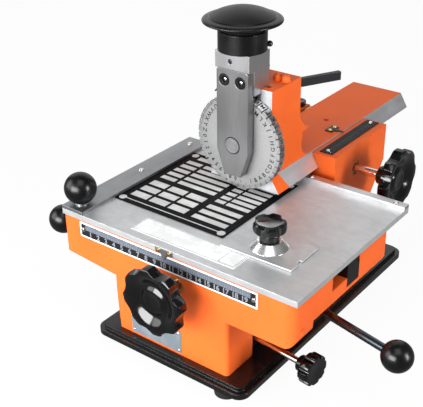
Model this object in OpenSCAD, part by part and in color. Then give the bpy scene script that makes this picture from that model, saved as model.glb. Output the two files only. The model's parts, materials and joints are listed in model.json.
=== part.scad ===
// Hand-operated nameplate marking machine: a press head with a type wheel on a sliding arm,
// over a cross-sliding work table, on a cast frame. Millimetres, +Z up, the front faces -Y.
// The origin is the centre of the base plate's underside.

/* [Base] */
// Width of the base plate
base_w = 187; // [178:1:200]
// Depth of the base plate
base_d = 325; // [318:1:345]
// Thickness of the base plate
base_t = 10; // [8:0.5:14]
// Height of the raised upper step of the base plate
base_step = 4; // [2:0.5:6]
// How far the upper step stands in from the edge
base_inset = 5; // [3:0.5:8]
// Corner radius of the base plate
base_r = 12; // [9:1:20]
// Diameter of a rubber foot
foot_d = 26; // [18:1:28]
// Height of a rubber foot
foot_h = 9; // [5:0.5:12]

/* [Table] */
// Width of the work table
table_w = 280; // [260:1:320]
// Depth of the work table
table_d = 205; // [195:1:206]
// Thickness of the table plate
table_t = 6; // [5:0.5:8]
// Height of the table's top surface
table_top = 127.5; // [123:0.5:140]
// Sideways place of the table's centre
table_x = 2.5; // [-5:0.5:10]
// Travel of the table to each side
table_travel = 90; // [60:1:100]
// Width of the left fence strip
fence_w = 28; // [18:1:34]
// Width of the back fence strip
back_fence_w = 9; // [7:0.5:12]
// Thickness of the fence strips
fence_t = 3.5; // [2.5:0.25:4.5]
// Width of the sample nameplate
name_w = 138; // [60:1:150]
// Depth of the sample nameplate
name_d = 132; // [60:1:140]
// Thickness of the sample nameplate
name_t = 0.8; // [0.5:0.1:1.5]

/* [Bed casting] */
// Width of the bed
bed_w = 276; // [264:1:278]
// Depth of the bed
bed_d = 174; // [168:1:180]
// Height of the bed's side walls
bed_h = 33.5; // [31:0.5:40]
// Wall thickness of the bed
bed_wall = 12; // [9:0.5:15]
// How far the front apron hangs below the side walls
apron_drop = 14.5; // [11:0.5:18]
// Depth of the hanging front apron
apron_d = 33; // [28:1:34]
// Width of the front leg
leg_w = 140; // [124:1:150]
// Depth of the front leg
leg_d = 44; // [38:0.5:46]
// Wall thickness of the front leg
leg_wall = 9; // [7:0.5:11]

/* [Column casting] */
// Width of the rear column
column_w = 129; // [124:1:136]
// Length of the column's slideway
column_d = 113; // [110:1:122]
// Height of the column's cheeks above the slideway floor
cheek_h = 15.5; // [13:0.5:16]
// Wall thickness of the hollow column
column_wall = 12; // [10:0.5:14]

/* [Arm] */
// Sideways place of the arm's centre line
arm_x = -12.5; // [-16:0.5:-9]
// Width of the arm's top
arm_top_w = 66; // [62:1:70]
// Width of the arm's dovetail at its foot
arm_base_w = 86; // [80:1:88]
// Thickness of the arm
arm_t = 16.5; // [16:0.5:20]
// Length of the arm
arm_l = 286; // [274:1:300]
// Clear height of the arm over the table
arm_clear = 7.5; // [7:0.5:12]
// Depth of the press head on the arm
head_d = 52; // [46:1:56]
// Height of the press head above the arm's underside
head_h = 108; // [100:1:116]
// Travel of the arm towards the front
arm_forward = 80; // [50:1:85]
// Travel of the arm towards the back
arm_back = 18; // [8:1:22]

/* [Plunger] */
// Width of the plunger block
block_w = 40; // [36:0.5:44]
// Height of the plunger block
block_h = 42; // [40:0.5:50]
// Depth of the plunger block in front of the slide
block_d = 16; // [14:0.5:17]
// Thickness of the front bracket plate
plate_t = 8.8; // [7:0.2:10]
// Width of the front bracket plate
plate_w = 37.2; // [34:0.2:38]
// Diameter of the mushroom cap
cap_d = 78; // [60:1:90]
// Height of the mushroom cap
cap_h = 22; // [20:0.5:28]
// Diameter of the collar under the cap
collar_d = 48; // [40:0.5:54]
// Height of the collar under the cap
collar_h = 19; // [14:0.5:24]
// Stroke of the plunger
stroke = 6.5; // [4:0.25:6.75]

/* [Type wheel] */
// Outer diameter of the type wheel
wheel_d = 100; // [80:1:104]
// Thickness of the type wheel
wheel_t = 9; // [7:0.25:10]
// Number of type blocks round the rim
type_count = 40; // [30:1:44]
// How far a type block stands out of the disc
type_h = 3.6; // [2:0.2:5]
// Diameter of the wheel's axle
axle_d = 16; // [12:0.5:18]
// Rest gap between the wheel and the table
work_gap = 8; // [8:0.25:9]

/* [Drives] */
// Module of the pinions and racks
gear_module = 1; // [1:0.25:1]
// Teeth of each pinion
pinion_teeth = 24; // [22:1:24]
// Width of each pinion
pinion_w = 10; // [8:0.5:11]
// Diameter of the drive shafts
shaft_d = 10; // [8:0.5:12]
// Diameter of the two eight-lobed hand knobs
knob_d = 70; // [56:1:76]
// Rim thickness of the hand knobs
knob_t = 12; // [11:0.5:16]

/* [Levers and clamp] */
// Diameter of the ball on the feed lever
feed_ball_d = 29; // [24:1:34]
// Length of the feed lever from its pivot to the ball's centre
feed_l = 118; // [100:1:130]
// Diameter of the ball on the table grip
grip_ball_d = 33; // [26:1:36]
// Diameter of the ball on the release rod
release_ball_d = 31; // [24:1:34]
// Travel of the release rod
release_travel = 8; // [4:0.5:10]
// Diameter of the spacing knob
spacing_knob_d = 31; // [28:1:36]
// Diameter of the clamp knob
clamp_knob_d = 32; // [26:1:36]
// Length of the lock lever behind the head
lock_l = 56; // [40:1:64]

/* [Hidden] */
$fn = 64;

// Clearances: running fit on a radius, sliding fit on a flat way, and a visible gap
run_gap = 0.05;
slide_gap = 0.15;
flank_gap = 0.2;
open_gap = 1;
seat_gap = 0.01;
over = 1;

// Colours of the finishes
orange = "#F26B2B";
silver = "#C9CCCE";
steel = "#8F9498";
black = "#1C1C1E";
brass = "#B88A3C";
rubber = "#26262A";

// Table levels and edges
table_bottom = table_top - table_t;
table_front = -151.5;
table_back = table_front + table_d;
fence_top = table_top + fence_t;

// Bed levels and edges
bed_front = table_front + 1.5;
bed_back = bed_front + bed_d;
bed_top = table_bottom - open_gap;
bed_bottom = bed_top - bed_h;
apron_bottom = bed_bottom - apron_drop;
bed_r = 10;
bed_left_r = 3;
leg_r = 4;
apron_rise = 5.5;
apron_corner_r = 10;
leg_back = bed_front + leg_d;
bed_x = table_x - 2;
bed_left = bed_x - bed_w / 2;
bed_right = bed_x + bed_w / 2;
leg_x = table_x - 5;
leg_left = leg_x - leg_w / 2;
leg_right = leg_x + leg_w / 2;
leg_draft = 5;

// Table slide: bar, its way in the bed and its rack
bar_w = 22;
bar_h = 30.5;
bar_y = table_front + 104;
bar_front = bar_y - bar_w / 2;
bar_back = bar_y + bar_w / 2;
bar_bottom = table_bottom - bar_h;
way_t = 8;
way_front_h = 11;
way_step_w = 14;
way_step_h = 4;
keeper_z = bar_bottom + 19;
keeper_h = 5;
keeper_in = 4;
keeper_w = 12;

// Gear sizes
pitch_r = gear_module * pinion_teeth / 2;
tip_r = pitch_r + gear_module;
root_r = pitch_r - 1.25 * gear_module;
gear_pitch = PI * gear_module;
pressure_angle = 20;
backlash = 0.16;
rack_body = 6.75;

// Table rack and the front drive
rack_w = 12;
table_rack_bottom = bar_bottom + way_front_h;
table_rack_pitch = table_rack_bottom + gear_module;
front_axis_x = table_x + 6;
front_axis_z = table_rack_pitch - pitch_r;
table_rack_l = 2 * (table_travel + tip_r + 3);
front_pinion_y = bar_front - 1 - pinion_w;
rib_t = 14;
rib_y = front_pinion_y - 3 - rib_t;
shaft_boss_d = shaft_d + 16;
bush_d = shaft_d + 6;
bush_flange_d = bush_d + 6;
bush_flange_t = 2;

// Column levels and edges
arm_bottom = table_top + arm_clear;
arm_top = arm_bottom + arm_t;
column_front = table_back + 12;
column_back = column_front + column_d;
column_top = arm_bottom + cheek_h;
column_shelf = table_bottom - 3.5;
column_foot_back = base_d / 2 - 16;
column_x = arm_x - 1.5;
column_right = column_x + column_w / 2;
column_left = column_x - column_w / 2;
flank_run = (arm_base_w - arm_top_w) / 2;
gib_t = 4.5;

// Arm rack and the side drive
arm_rack_w = 10;
arm_rack_pitch = arm_bottom - gear_module;
side_axis_z = arm_rack_pitch - pitch_r;
side_axis_y = column_front + 46;
arm_rack_front = side_axis_y - tip_r - arm_back - 3;
arm_rack_l = 2 * tip_r + arm_back + arm_forward + 6;

// Arm and head
arm_front = table_front + 139;
arm_rear = arm_front + arm_l;
head_back = arm_front + head_d;
head_top = arm_bottom + head_h;
head_w = arm_top_w;
gusset_r = 24;
gusset_top = arm_top + 55.5;
gusset_out = 22.5;
gusset_foot_r = 16;
gusset_web = 5;

// Plunger levels, from the wheel's axle outwards
wheel_r = wheel_d / 2;
disc_r = wheel_r - type_h;
axle_z = table_top + work_gap + wheel_r;
wheel_back = arm_front - 1.2;
wheel_front = wheel_back - wheel_t;
plate_back = wheel_front - open_gap;
plate_front = plate_back - plate_t;
block_bottom = axle_z + wheel_r + 3.5;
block_top = block_bottom + block_h;
plate_top = block_top - 17;
plate_bottom = axle_z - 33;
plate_taper = 26;
plate_screw_z = plate_top - 11.3;
plate_screw_x = 9.5;
block_back = plate_front + block_d;
stem_d = 8;
flange_d = 6;
flange_w = block_w + 10;
slide_back = arm_front + stem_d + flange_d;
slide_bottom = axle_z - 35.5;
slot_bottom = slide_bottom - stroke - 2.5;
collar_top = block_top + collar_h;
cap_rim_z = collar_top + 9;
cap_y = arm_front - 3;
axle_tail_d = axle_d - 4;

// Return spring under the slide
spring_y = arm_front + stem_d;
spring_wire = 1.4;
spring_r = 4;
spring_bore_r = 5.4;
spring_turns = 9;
spring_top = axle_z - axle_tail_d / 2 - 2.5;
spring_len = spring_top - slot_bottom;

// Levers
feed_x = table_x + 98;
feed_y = rib_y + rib_t / 2;
feed_angle = -12.7;
feed_rod_d = 8;
feed_hub_d = 24;
feed_hub_h = 12;
feed_pin_d = 10;
feed_hub_top = bed_bottom - 4.7;
feed_hub_z = feed_hub_top - feed_hub_h / 2;
spacing_angle = -7;
spacing_rod_d = 6.5;
spacing_x = leg_right - 40;
spacing_y = leg_back + 11.3;
spacing_z = base_t + 15;
spacing_knob_at = 108;
bracket_w = 30;
bracket_d = 24;
bracket_h = 28;
bracket_screw_x = spacing_x + 4 + bracket_w / 2;
bracket_screw_rise = 9;
bracket_screw_d = 5;
release_y = bed_front + 26;
release_z = bed_bottom + 5;
release_rod_d = 8;
release_out = 31;
grip_x = table_x - table_w / 2 + 13;
grip_y = table_front + 15;
grip_neck_d = 14;
grip_neck_h = 1;
stud_d = 8;
clamp_x = table_x + table_w / 2 - 68.4;
clamp_y = table_front + 58.8;
clamp_angle = 1;
clamp_plate_w = 77;
clamp_plate_d = 48;
clamp_plate_t = 1.5;
washer_d = 37;
washer_h = 7;
neck_h = 7;
clamp_head_h = 13;
lock_z = head_top - 13;
lock_x = arm_x + 18;
lock_lug_d = 16;
lock_angle = 28;
lock_h = 9;
lock_t = 5;
arm_clamp_x = column_left + 19;
arm_clamp_y = column_back - 12;
arm_clamp_l = 4.5;
arm_knob_d = 18;
arm_knob_t = 6.4;
arm_knob_neck = 1;

// Scales
scale_w = 216;
scale_h = 16.5;
scale_t = 1;
scale_x = table_x - 9;
scale_z = bed_top - 1 - scale_h / 2;
column_scale_w = 15;
column_scale_l = 104;
column_scale_x = column_right - 15.5;
column_scale_y = column_front + 57.5;

// Outline of a rectangle with round corners, centred
module round_outline(w, d, r) {
  square([w - 2 * r, d], center = true);
  square([w, d - 2 * r], center = true);
  for (sx = [-1, 1], sy = [-1, 1])
    translate([sx * (w / 2 - r), sy * (d / 2 - r)]) circle(r);
}

// Plate with round corners, standing on z = 0
module round_plate(w, d, h, r) {
  linear_extrude(h) round_outline(w, d, r);
}

// Box given by its low and high corners
module span(low, high) {
  translate(low) cube(high - low);
}

// Cylinder along Y from y0 to y1 at (x, z)
module rod_y(x, z, y0, y1, d) {
  translate([x, y0, z]) rotate([-90, 0, 0]) cylinder(d = d, h = y1 - y0);
}

// Cylinder along X from x0 to x1 at (y, z)
module rod_x(y, z, x0, x1, d) {
  translate([x0, y, z]) rotate([0, 90, 0]) cylinder(d = d, h = x1 - x0);
}

// Cylinder along Z from z0 to z1 at (x, y)
module rod_z(x, y, z0, z1, d) {
  translate([x, y, z0]) cylinder(d = d, h = z1 - z0);
}

// Socket-head screw along -Z, its head's top at z = 0
module cap_screw(d, l, head_d, head_h) {
  difference() {
    translate([0, 0, -head_h]) cylinder(d = head_d, h = head_h);
    translate([0, 0, -head_h * 0.55]) cylinder(d = head_d * 0.55, h = head_h, $fn = 6);
  }
  translate([0, 0, -head_h - l]) cylinder(d = d, h = l);
}

// Polar angle of an involute flank at radius r, in degrees
function flank_angle(r, base) = let (a = acos(min(1, base / r))) (tan(a) * 180 / PI - a);

// Outline of a pinion with involute teeth, one tooth pointing along +Y
module pinion_outline() {
  base = pitch_r * cos(pressure_angle);
  half = (gear_pitch / 2 - backlash) / 2 / pitch_r * 180 / PI + flank_angle(pitch_r, base);
  radii = [root_r, for (k = [0:5]) base + (tip_r - base) * k / 5];
  points = [for (i = [0:pinion_teeth - 1]) let (mid = 90 + 360 / pinion_teeth * i)
    each concat(
      [for (r = radii) let (a = mid - half + flank_angle(max(r, base), base)) r * [cos(a), sin(a)]],
      [for (k = [len(radii) - 1:-1:0])
        let (r = radii[k], a = mid + half - flank_angle(max(r, base), base)) r * [cos(a), sin(a)]])];
  polygon(points);
}

// Outline of a rack from x = 0 to l, teeth downwards, a tooth space centred on x = phase
module rack_outline(l, phase, body) {
  rise = tan(pressure_angle);
  first = ceil((2 * gear_module - phase) / gear_pitch - 0.5);
  last = floor((l - 2 * gear_module - phase) / gear_pitch - 1.5);
  top = 1.25 * gear_module;
  half = gear_pitch / 4 - backlash / 4;
  teeth = [for (k = [first:last]) let (c = phase + (k + 0.5) * gear_pitch)
    each [[c - half - top * rise, top], [c - half + gear_module * rise, -gear_module],
          [c + half - gear_module * rise, -gear_module], [c + half + top * rise, top]]];
  polygon(concat([[0, top]], teeth, [[l, top], [l, top + body], [0, top + body]]));
}

// Lobed hand knob, its face on z = 0 looking along +Z, its hub reaching below; land is a lobe's angle
module lobed_knob(d, t, lobes, land, depth, hub_d, hub_l, bore_d, dish_d, dish_depth) {
  r = d / 2;
  half_gap = 180 / lobes - land / 2;
  chord = r * sin(half_gap);
  sag = max(0.8, r * cos(half_gap) - (r - depth));
  hollow_r = (chord * chord + sag * sag) / (2 * sag);
  edge = 1.6;
  difference() {
    union() {
      intersection() {
        translate([0, 0, -t]) linear_extrude(t) difference() {
          circle(r);
          for (i = [0:lobes - 1]) rotate(360 / lobes * (i + 0.5))
            translate([r - depth + hollow_r, 0]) circle(hollow_r);
        }
        rotate_extrude() polygon([[0, -t], [r - edge, -t], [r, -t + edge], [r, -edge], [r - edge, 0],
          [0, 0]]);
      }
      translate([0, 0, -t - hub_l]) cylinder(d = hub_d, h = hub_l + t / 2);
    }
    if (dish_depth > 0) rotate_extrude() polygon([
      [0, over], [dish_d / 2 + 1, over], [dish_d / 2, 0], [dish_d / 2 - 2.2, -dish_depth * 0.7],
      [dish_d / 2 - 6, -dish_depth], [0, -dish_depth]]);
    translate([0, 0, -t - hub_l - over]) cylinder(d = bore_d, h = hub_l + t - dish_depth - 3 + over);
  }
}

// Ball with a flat and a blind hole for its rod, the rod entering along -Z
module ball_knob(d, rod_d, hole) {
  difference() {
    sphere(d = d);
    translate([0, 0, -d / 2 - over]) cylinder(d = d, h = over + d * 0.03);
    translate([0, 0, -d / 2 - over]) cylinder(d = rod_d, h = over + hole);
  }
}

// Cross-section of the arm's dovetail, grown by a sideways gap, from z = low to high above its foot
module dovetail(gap, low, high) {
  half_at = function(z) arm_base_w / 2 - flank_run * z / arm_t + gap;
  polygon([[-half_at(low), low], [half_at(low), low], [half_at(high), high], [-half_at(high), high]]);
}

// Places of the bolts that hold the castings on the base plate
leg_bolts = [for (s = [-1, 1]) [leg_x + s * (leg_w / 2 - leg_wall - 26), bed_front + leg_d / 2]];
column_bolts = [for (sx = [-1, 1], y = [bed_back + 22, column_foot_back - 40])
  [column_x + sx * (column_w / 2 - column_wall - 9), y]];
bolt_d = 8;
bolt_head_d = 13;
bolt_pad_d = 20;
bolt_pad_h = 16;
bed_bolt_x = [arm_x - 50, arm_x + 50];
bed_bolt_z = bed_bottom + 12;

module base_plate() color(black) difference() {
  union() {
    round_plate(base_w, base_d, base_t - base_step, base_r);
    round_plate(base_w - 2 * base_inset, base_d - 2 * base_inset, base_t, base_r - base_inset);
  }
  for (p = concat(leg_bolts, column_bolts)) {
    rod_z(p[0], p[1], -over, base_t + over, bolt_d + 2 * seat_gap);
    rod_z(p[0], p[1], -over, 6, bolt_head_d + 1);
  }
  for (p = foot_places) rod_z(p[0], p[1], -over, foot_seat, foot_d + 0.4);
}

// Feet in shallow sockets of the base plate, the left pair standing nearer the middle
foot_seat = 1.5;
foot_x = base_w / 2 - 28;
foot_places = [for (s = [-1, 1]) each [[foot_x, s * (base_d / 2 - 14)], [-foot_x, s * (base_d / 2 - 28)]]];

module rubber_feet() color(rubber) for (p = foot_places) {
  translate([p[0], p[1], -foot_h]) cylinder(d1 = foot_d - 2, d2 = foot_d, h = foot_h);
  rod_z(p[0], p[1], 0, foot_seat - seat_gap, foot_d);
}

module frame_bolts() color(steel) {
  for (p = concat(leg_bolts, column_bolts))
    translate([p[0], p[1], 0.5]) mirror([0, 0, 1])
      cap_screw(bolt_d, base_t + bolt_pad_h - 9, bolt_head_d, 5.5);
  for (x = bed_bolt_x) translate([x, bed_back - bed_wall - 5.5, bed_bolt_z]) rotate([90, 0, 0])
    cap_screw(bolt_d, bed_wall + column_wall - 2, bolt_head_d, 5.5);
  for (s = [-1, 1]) translate([bracket_screw_x, leg_back + bracket_d + 5, spacing_z + s * bracket_screw_rise])
    rotate([-90, 0, 0]) cap_screw(bracket_screw_d, bracket_d + leg_wall - 1, 8.5, 5);
}

// Outline of the bed from above, its left corners sharper than its right ones
module bed_outline() {
  translate([bed_x, bed_front + bed_d / 2]) round_outline(bed_w, bed_d, bed_r);
  translate([bed_left + bed_w / 4, bed_front + bed_d / 2]) round_outline(bed_w / 2, bed_d, bed_left_r);
}

// What is cut off the apron's underside, in the XZ plane: a slope on the left, a round corner on the right
module apron_trim() {
  polygon([[bed_left - over, apron_bottom - over], [leg_left, apron_bottom - over], [leg_left, apron_bottom],
           [bed_left - over, apron_bottom + apron_rise]]);
  difference() {
    translate([bed_right - apron_corner_r, apron_bottom - over]) square(apron_corner_r + over);
    translate([bed_right - apron_corner_r, apron_bottom + apron_corner_r]) circle(apron_corner_r);
  }
}

module bed_casting() color(orange) {
  way_low = bar_bottom - slide_gap - way_t;
  boss_x = front_axis_x;
  inner_front = bed_front + bed_wall + 2;
  difference() {
    translate([0, 0, apron_bottom]) linear_extrude(bed_top - apron_bottom) bed_outline();
    // Side walls stop higher than the apron
    span([bed_left - over, bed_front + apron_d, apron_bottom - over],
      [bed_right + over, bed_back + over, bed_bottom]);
    along_y(bed_front - over, bed_front + apron_d + over) apron_trim();
    // Open inside of the bed
    span([bed_left + bed_wall, inner_front, bed_bottom],
      [bed_right - bed_wall, bed_back - bed_wall, bed_top + over]);
    span([bed_left + bed_wall, inner_front, apron_bottom - over],
         [leg_left + leg_wall, bed_front + apron_d + over, bed_top + over]);
    span([leg_right - leg_wall, inner_front, apron_bottom - over],
         [bed_right - bed_wall, bed_front + apron_d + over, bed_top + over]);
    // Channels in the side walls for the bar and its rack
    span([bed_left - over, bar_front - slide_gap, bar_bottom - slide_gap],
         [bed_right + over, bar_back + slide_gap, bed_top + over]);
    span([bed_left - over, bar_front - rack_w - 15, table_rack_bottom - open_gap],
         [bed_right + over, bar_front, bed_top + over]);
    span([bed_left - over, bar_back, bed_top - way_step_h],
         [bed_right + over, bar_back + way_step_w, bed_top + over]);
    // Bore of the front drive
    rod_y(boss_x, front_axis_z, bed_front - over, bed_front + apron_d + over, bush_d + 2 * seat_gap);
    // Bore of the release rod
    rod_x(release_y, release_z, bed_left - over, bed_left + bed_wall + over, release_rod_d + 2 * run_gap);
    // Bolts to the column
    for (x = bed_bolt_x) rod_y(x, bed_bolt_z, bed_back - bed_wall - over, bed_back + over,
      bolt_d + 2 * seat_gap);
    // Screws of the front scale
    for (x = scale_screw_x) rod_y(x, scale_z, bed_front - over, bed_front + 6, scale_screw_d + 2 * seat_gap);
  }
  // Hollow leg, open at its foot
  difference() {
    translate([leg_x, bed_front + leg_d / 2, base_t]) round_plate(leg_w, leg_d, bed_bottom - base_t, leg_r);
    span([leg_left + leg_wall + leg_draft, bed_front + leg_wall, base_t - over],
         [leg_right - leg_wall, leg_back - leg_wall, bed_bottom - 8]);
    // Draft of the left side
    along_y(bed_front - over, leg_back + over) polygon([
      [leg_left - over, apron_bottom], [leg_left, apron_bottom], [leg_left + leg_draft, base_t],
      [leg_left + leg_draft, base_t - over], [leg_left - over, base_t - over]]);
    rod_y(boss_x, front_axis_z, bed_front - over, leg_back + over, bush_d + 2 * seat_gap);
    for (s = [-1, 1]) rod_y(bracket_screw_x, spacing_z + s * bracket_screw_rise, leg_back - leg_wall - over,
                            leg_back + over, bracket_screw_d + 2 * seat_gap);
  }
  // Bolt pads in the leg
  for (p = leg_bolts) difference() {
    union() {
      rod_z(p[0], p[1], base_t, base_t + bolt_pad_h, bolt_pad_d - 4);
      span([p[0] - 4, bed_front + leg_wall - over, base_t],
        [p[0] + 4, leg_back - leg_wall + over, base_t + bolt_pad_h]);
    }
    rod_z(p[0], p[1], base_t - over, base_t + bolt_pad_h + over, bolt_d + 2 * seat_gap);
  }
  // Way of the table bar: floor, front rib and rear rib between the side walls
  difference() {
    union() {
      span([bed_left + bed_wall - over, bar_front - way_t, way_low],
           [bed_right - bed_wall + over, bar_back + 10, bar_bottom - slide_gap]);
      span([bed_left + bed_wall - over, bar_front - way_t, way_low],
           [bed_right - bed_wall + over, bar_front - slide_gap, bar_bottom + way_front_h - open_gap]);
      span([bed_left + bed_wall - over, bar_back + slide_gap, way_low],
           [bed_right - bed_wall + over, bar_back + 10, keeper_z]);
    }
    span([boss_x - tip_r - 2, bar_front - way_t - over, way_low - over],
         [boss_x + tip_r + 2, bar_front - slide_gap + 0.01, table_rack_bottom + over]);
    for (x = keeper_screw_x)
      rod_z(x, keeper_screw_y, keeper_z - 10, keeper_z + over, keeper_screw_d + 2 * seat_gap);
  }
  // Cross rib with the front drive's rear bearing and the feed lever's pivot
  difference() {
    union() {
      span([bed_left + bed_wall - over, rib_y, bed_bottom],
        [bed_right - bed_wall + over, rib_y + rib_t, table_rack_bottom - open_gap]);
      rod_y(boss_x, front_axis_z, rib_y, rib_y + rib_t, shaft_boss_d + 4);
      rod_z(feed_x, feed_y, feed_hub_top + 0.3, bed_bottom + over, feed_hub_d);
    }
    rod_y(boss_x, front_axis_z, rib_y - over, rib_y + rib_t + over, bush_d + 2 * seat_gap);
    rod_z(feed_x, feed_y, feed_hub_top - over, table_rack_bottom + over, feed_pin_d + 2 * seat_gap);
  }
}

keeper_screw_x = [for (k = [-1, 0, 1]) table_x + k * 90];
keeper_screw_y = bar_back + 6;
keeper_screw_d = 4;
scale_screw_d = 3;
scale_screw_x = [scale_x - scale_w / 2 + 4, scale_x + scale_w / 2 - 4];

module table_keeper() color(steel) difference() {
  span([bed_left + bed_wall + 2, bar_back - keeper_in + slide_gap, keeper_z],
       [bed_right - bed_wall - 2, bar_back - keeper_in + slide_gap + keeper_w, keeper_z + keeper_h]);
  for (x = keeper_screw_x) rod_z(x, keeper_screw_y, keeper_z - over, keeper_z + keeper_h + over,
    keeper_screw_d + 2 * seat_gap);
}

// Profile of the column in the YZ plane
module column_profile() polygon([
  [bed_back, base_t], [column_foot_back, base_t], [column_foot_back, base_t + 56],
  [column_back, arm_bottom - 28], [column_back, column_top], [column_front, column_top],
  [column_front, column_shelf], [bed_back, column_shelf]]);

module along_x(x0, x1) translate([x0, 0, 0]) rotate([90, 0, 90]) linear_extrude(x1 - x0) children();
module along_y(y0, y1) translate([0, y1, 0]) rotate([90, 0, 0]) linear_extrude(y1 - y0) children();

module column_casting() color(orange) {
  pocket_top = side_axis_z - pitch_r - 8;
  difference() {
    along_x(column_left, column_right) column_profile();
    // Hollow foot
    span([column_left + column_wall, bed_back + column_wall, base_t - over],
         [column_right - column_wall, column_foot_back - column_wall, pocket_top]);
    // Dovetail way, wider on the left for the gib
    translate([arm_x, 0, arm_bottom]) along_y(column_front - over, column_back + over)
      dovetail(flank_gap, -slide_gap, arm_t + over);
    translate([arm_x - gib_t, 0, arm_bottom]) along_y(column_front - over, column_back + over)
      dovetail(flank_gap, -slide_gap, arm_t + over);
    // Groove for the rack and pocket for the pinion
    span([arm_x - arm_rack_w / 2 - 1, column_front - over, arm_bottom - 2 * gear_module - 1],
         [arm_x + arm_rack_w / 2 + 1, column_back + over, arm_bottom + over]);
    span([arm_x - pinion_w / 2 - 2, side_axis_y - tip_r - 2, side_axis_z - tip_r - 2],
         [arm_x + pinion_w / 2 + 2, side_axis_y + tip_r + 2, arm_bottom + over]);
    // Bore of the side drive, blind on the left
    rod_x(side_axis_y, side_axis_z, column_left + 12, column_right + over, bush_d + 2 * seat_gap);
    // Gib screws, the arm clamp and the scale's screws
    for (y = gib_screw_y) rod_x(y, gib_screw_z, column_left - over, arm_x - arm_base_w / 2,
      gib_screw_d + 2 * seat_gap);
    rod_z(arm_clamp_x, arm_clamp_y, column_top - arm_clamp_l - 0.5, column_top + over, stud_d + 2 * run_gap);
    for (y = column_screw_y) rod_z(column_scale_x, y, column_top - 7, column_top + over,
      scale_screw_d + 2 * seat_gap);
    for (x = bed_bolt_x) rod_y(x, bed_bolt_z, bed_back - over, bed_back + column_wall + over,
      bolt_d + 2 * seat_gap);
  }
  // Bolt pads in the foot
  for (p = column_bolts) difference() {
    span([p[0] - bolt_pad_d / 2, p[1] - bolt_pad_d / 2, base_t],
         [p[0] + bolt_pad_d / 2, p[1] + bolt_pad_d / 2, base_t + bolt_pad_h]);
    rod_z(p[0], p[1], base_t - over, base_t + bolt_pad_h + over, bolt_d + 2 * seat_gap);
  }
}

gib_screw_y = [for (k = [0:2]) column_front + 15 + k * (column_d - 50) / 2];
gib_screw_z = arm_bottom + 6;
gib_screw_d = 6;
column_screw_y = [column_scale_y - column_scale_l / 2 + 5, column_scale_y + column_scale_l / 2 - 5];

module front_scale() color(silver) difference() {
  span([scale_x - scale_w / 2, bed_front - scale_t, scale_z - scale_h / 2],
       [scale_x + scale_w / 2, bed_front, scale_z + scale_h / 2]);
  for (x = scale_screw_x) rod_y(x, scale_z, bed_front - scale_t - over, bed_front + over,
    scale_screw_d + 2 * seat_gap);
}

module column_scale() color(black) difference() {
  span([column_scale_x - column_scale_w / 2, column_scale_y - column_scale_l / 2, column_top],
       [column_scale_x + column_scale_w / 2, column_scale_y + column_scale_l / 2, column_top + scale_t]);
  for (y = column_screw_y) rod_z(column_scale_x, y, column_top - over, column_top + scale_t + over,
    scale_screw_d + 2 * seat_gap);
}

// Pan-head screw along -Z, the underside of its head on z = 0
module pan_screw(d, l, head_d, head_h) {
  cylinder(d1 = head_d, d2 = head_d * 0.7, h = head_h);
  translate([0, 0, -l]) cylinder(d = d, h = l);
}

module scale_screws() color(silver) {
  for (x = scale_screw_x) translate([x, bed_front - scale_t, scale_z]) rotate([90, 0, 0])
    pan_screw(scale_screw_d, scale_t + 5, 5, 1.2);
  for (y = column_screw_y) translate([column_scale_x, y, column_top + scale_t])
    pan_screw(scale_screw_d, scale_t + 6, 5, 1.2);
  for (x = keeper_screw_x) translate([x, keeper_screw_y, keeper_z + keeper_h])
    pan_screw(keeper_screw_d, keeper_h + 9, 7, 1);
}

module arm_gib() color(brass) translate([arm_x, 0, arm_bottom])
  along_y(column_front + 1, column_back - 1) {
    flank = function(z) -(arm_base_w / 2 - flank_run * z / arm_t + flank_gap);
    low = 0.3;
    high = cheek_h - 1;
    polygon([[flank(low), low], [flank(high), high], [flank(high) - gib_t, high], [flank(low) - gib_t, low]]);
  }

module gib_screws() color(steel) for (y = gib_screw_y) {
  low = gib_screw_z - arm_bottom - gib_screw_d / 2;
  reach = arm_x - arm_base_w / 2 + flank_run * low / arm_t - flank_gap - gib_t;
  difference() {
    rod_x(y, gib_screw_z, column_left + 1.5, reach, gib_screw_d);
    translate([column_left + 1.5 - over, y, gib_screw_z]) rotate([0, 90, 0])
      cylinder(d = 3, h = over + 3, $fn = 6);
  }
}

// Flanged bush along +Z, its flange below z = 0
module flanged_bush(l) difference() {
  union() {
    cylinder(d = bush_d, h = l);
    translate([0, 0, -bush_flange_t]) cylinder(d = bush_flange_d, h = bush_flange_t);
  }
  translate([0, 0, -bush_flange_t - over])
    cylinder(d = shaft_d + 2 * run_gap, h = l + bush_flange_t + 2 * over);
}

// Plain bush along +Z
module plain_bush(l) difference() {
  cylinder(d = bush_d, h = l);
  translate([0, 0, -over]) cylinder(d = shaft_d + 2 * run_gap, h = l + 2 * over);
}

bush_inset = 1.5;

module front_bushes() color(brass) {
  translate([front_axis_x, bed_front + bush_inset, front_axis_z]) rotate([-90, 0, 0]) plain_bush(bed_wall);
  translate([front_axis_x, rib_y, front_axis_z]) rotate([-90, 0, 0]) flanged_bush(rib_t);
}

module side_bushes() color(brass) {
  translate([column_right - bush_inset, side_axis_y, side_axis_z]) rotate([0, -90, 0]) plain_bush(24);
  translate([column_left + 14, side_axis_y, side_axis_z]) rotate([0, 90, 0]) plain_bush(20);
}

module feed_pivot() color(steel) {
  rod_z(feed_x, feed_y, feed_hub_top - feed_hub_h - 0.3, table_rack_bottom - open_gap - 1, feed_pin_d);
  rod_z(feed_x, feed_y, feed_hub_top - feed_hub_h - 4.3, feed_hub_top - feed_hub_h - 0.3, feed_pin_d + 8);
}

// Places a child along the spacing rod's axis, the rod running along +X
module on_spacing_axis() translate([spacing_x, spacing_y, spacing_z]) rotate([0, 0, spacing_angle])
  children();

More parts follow.
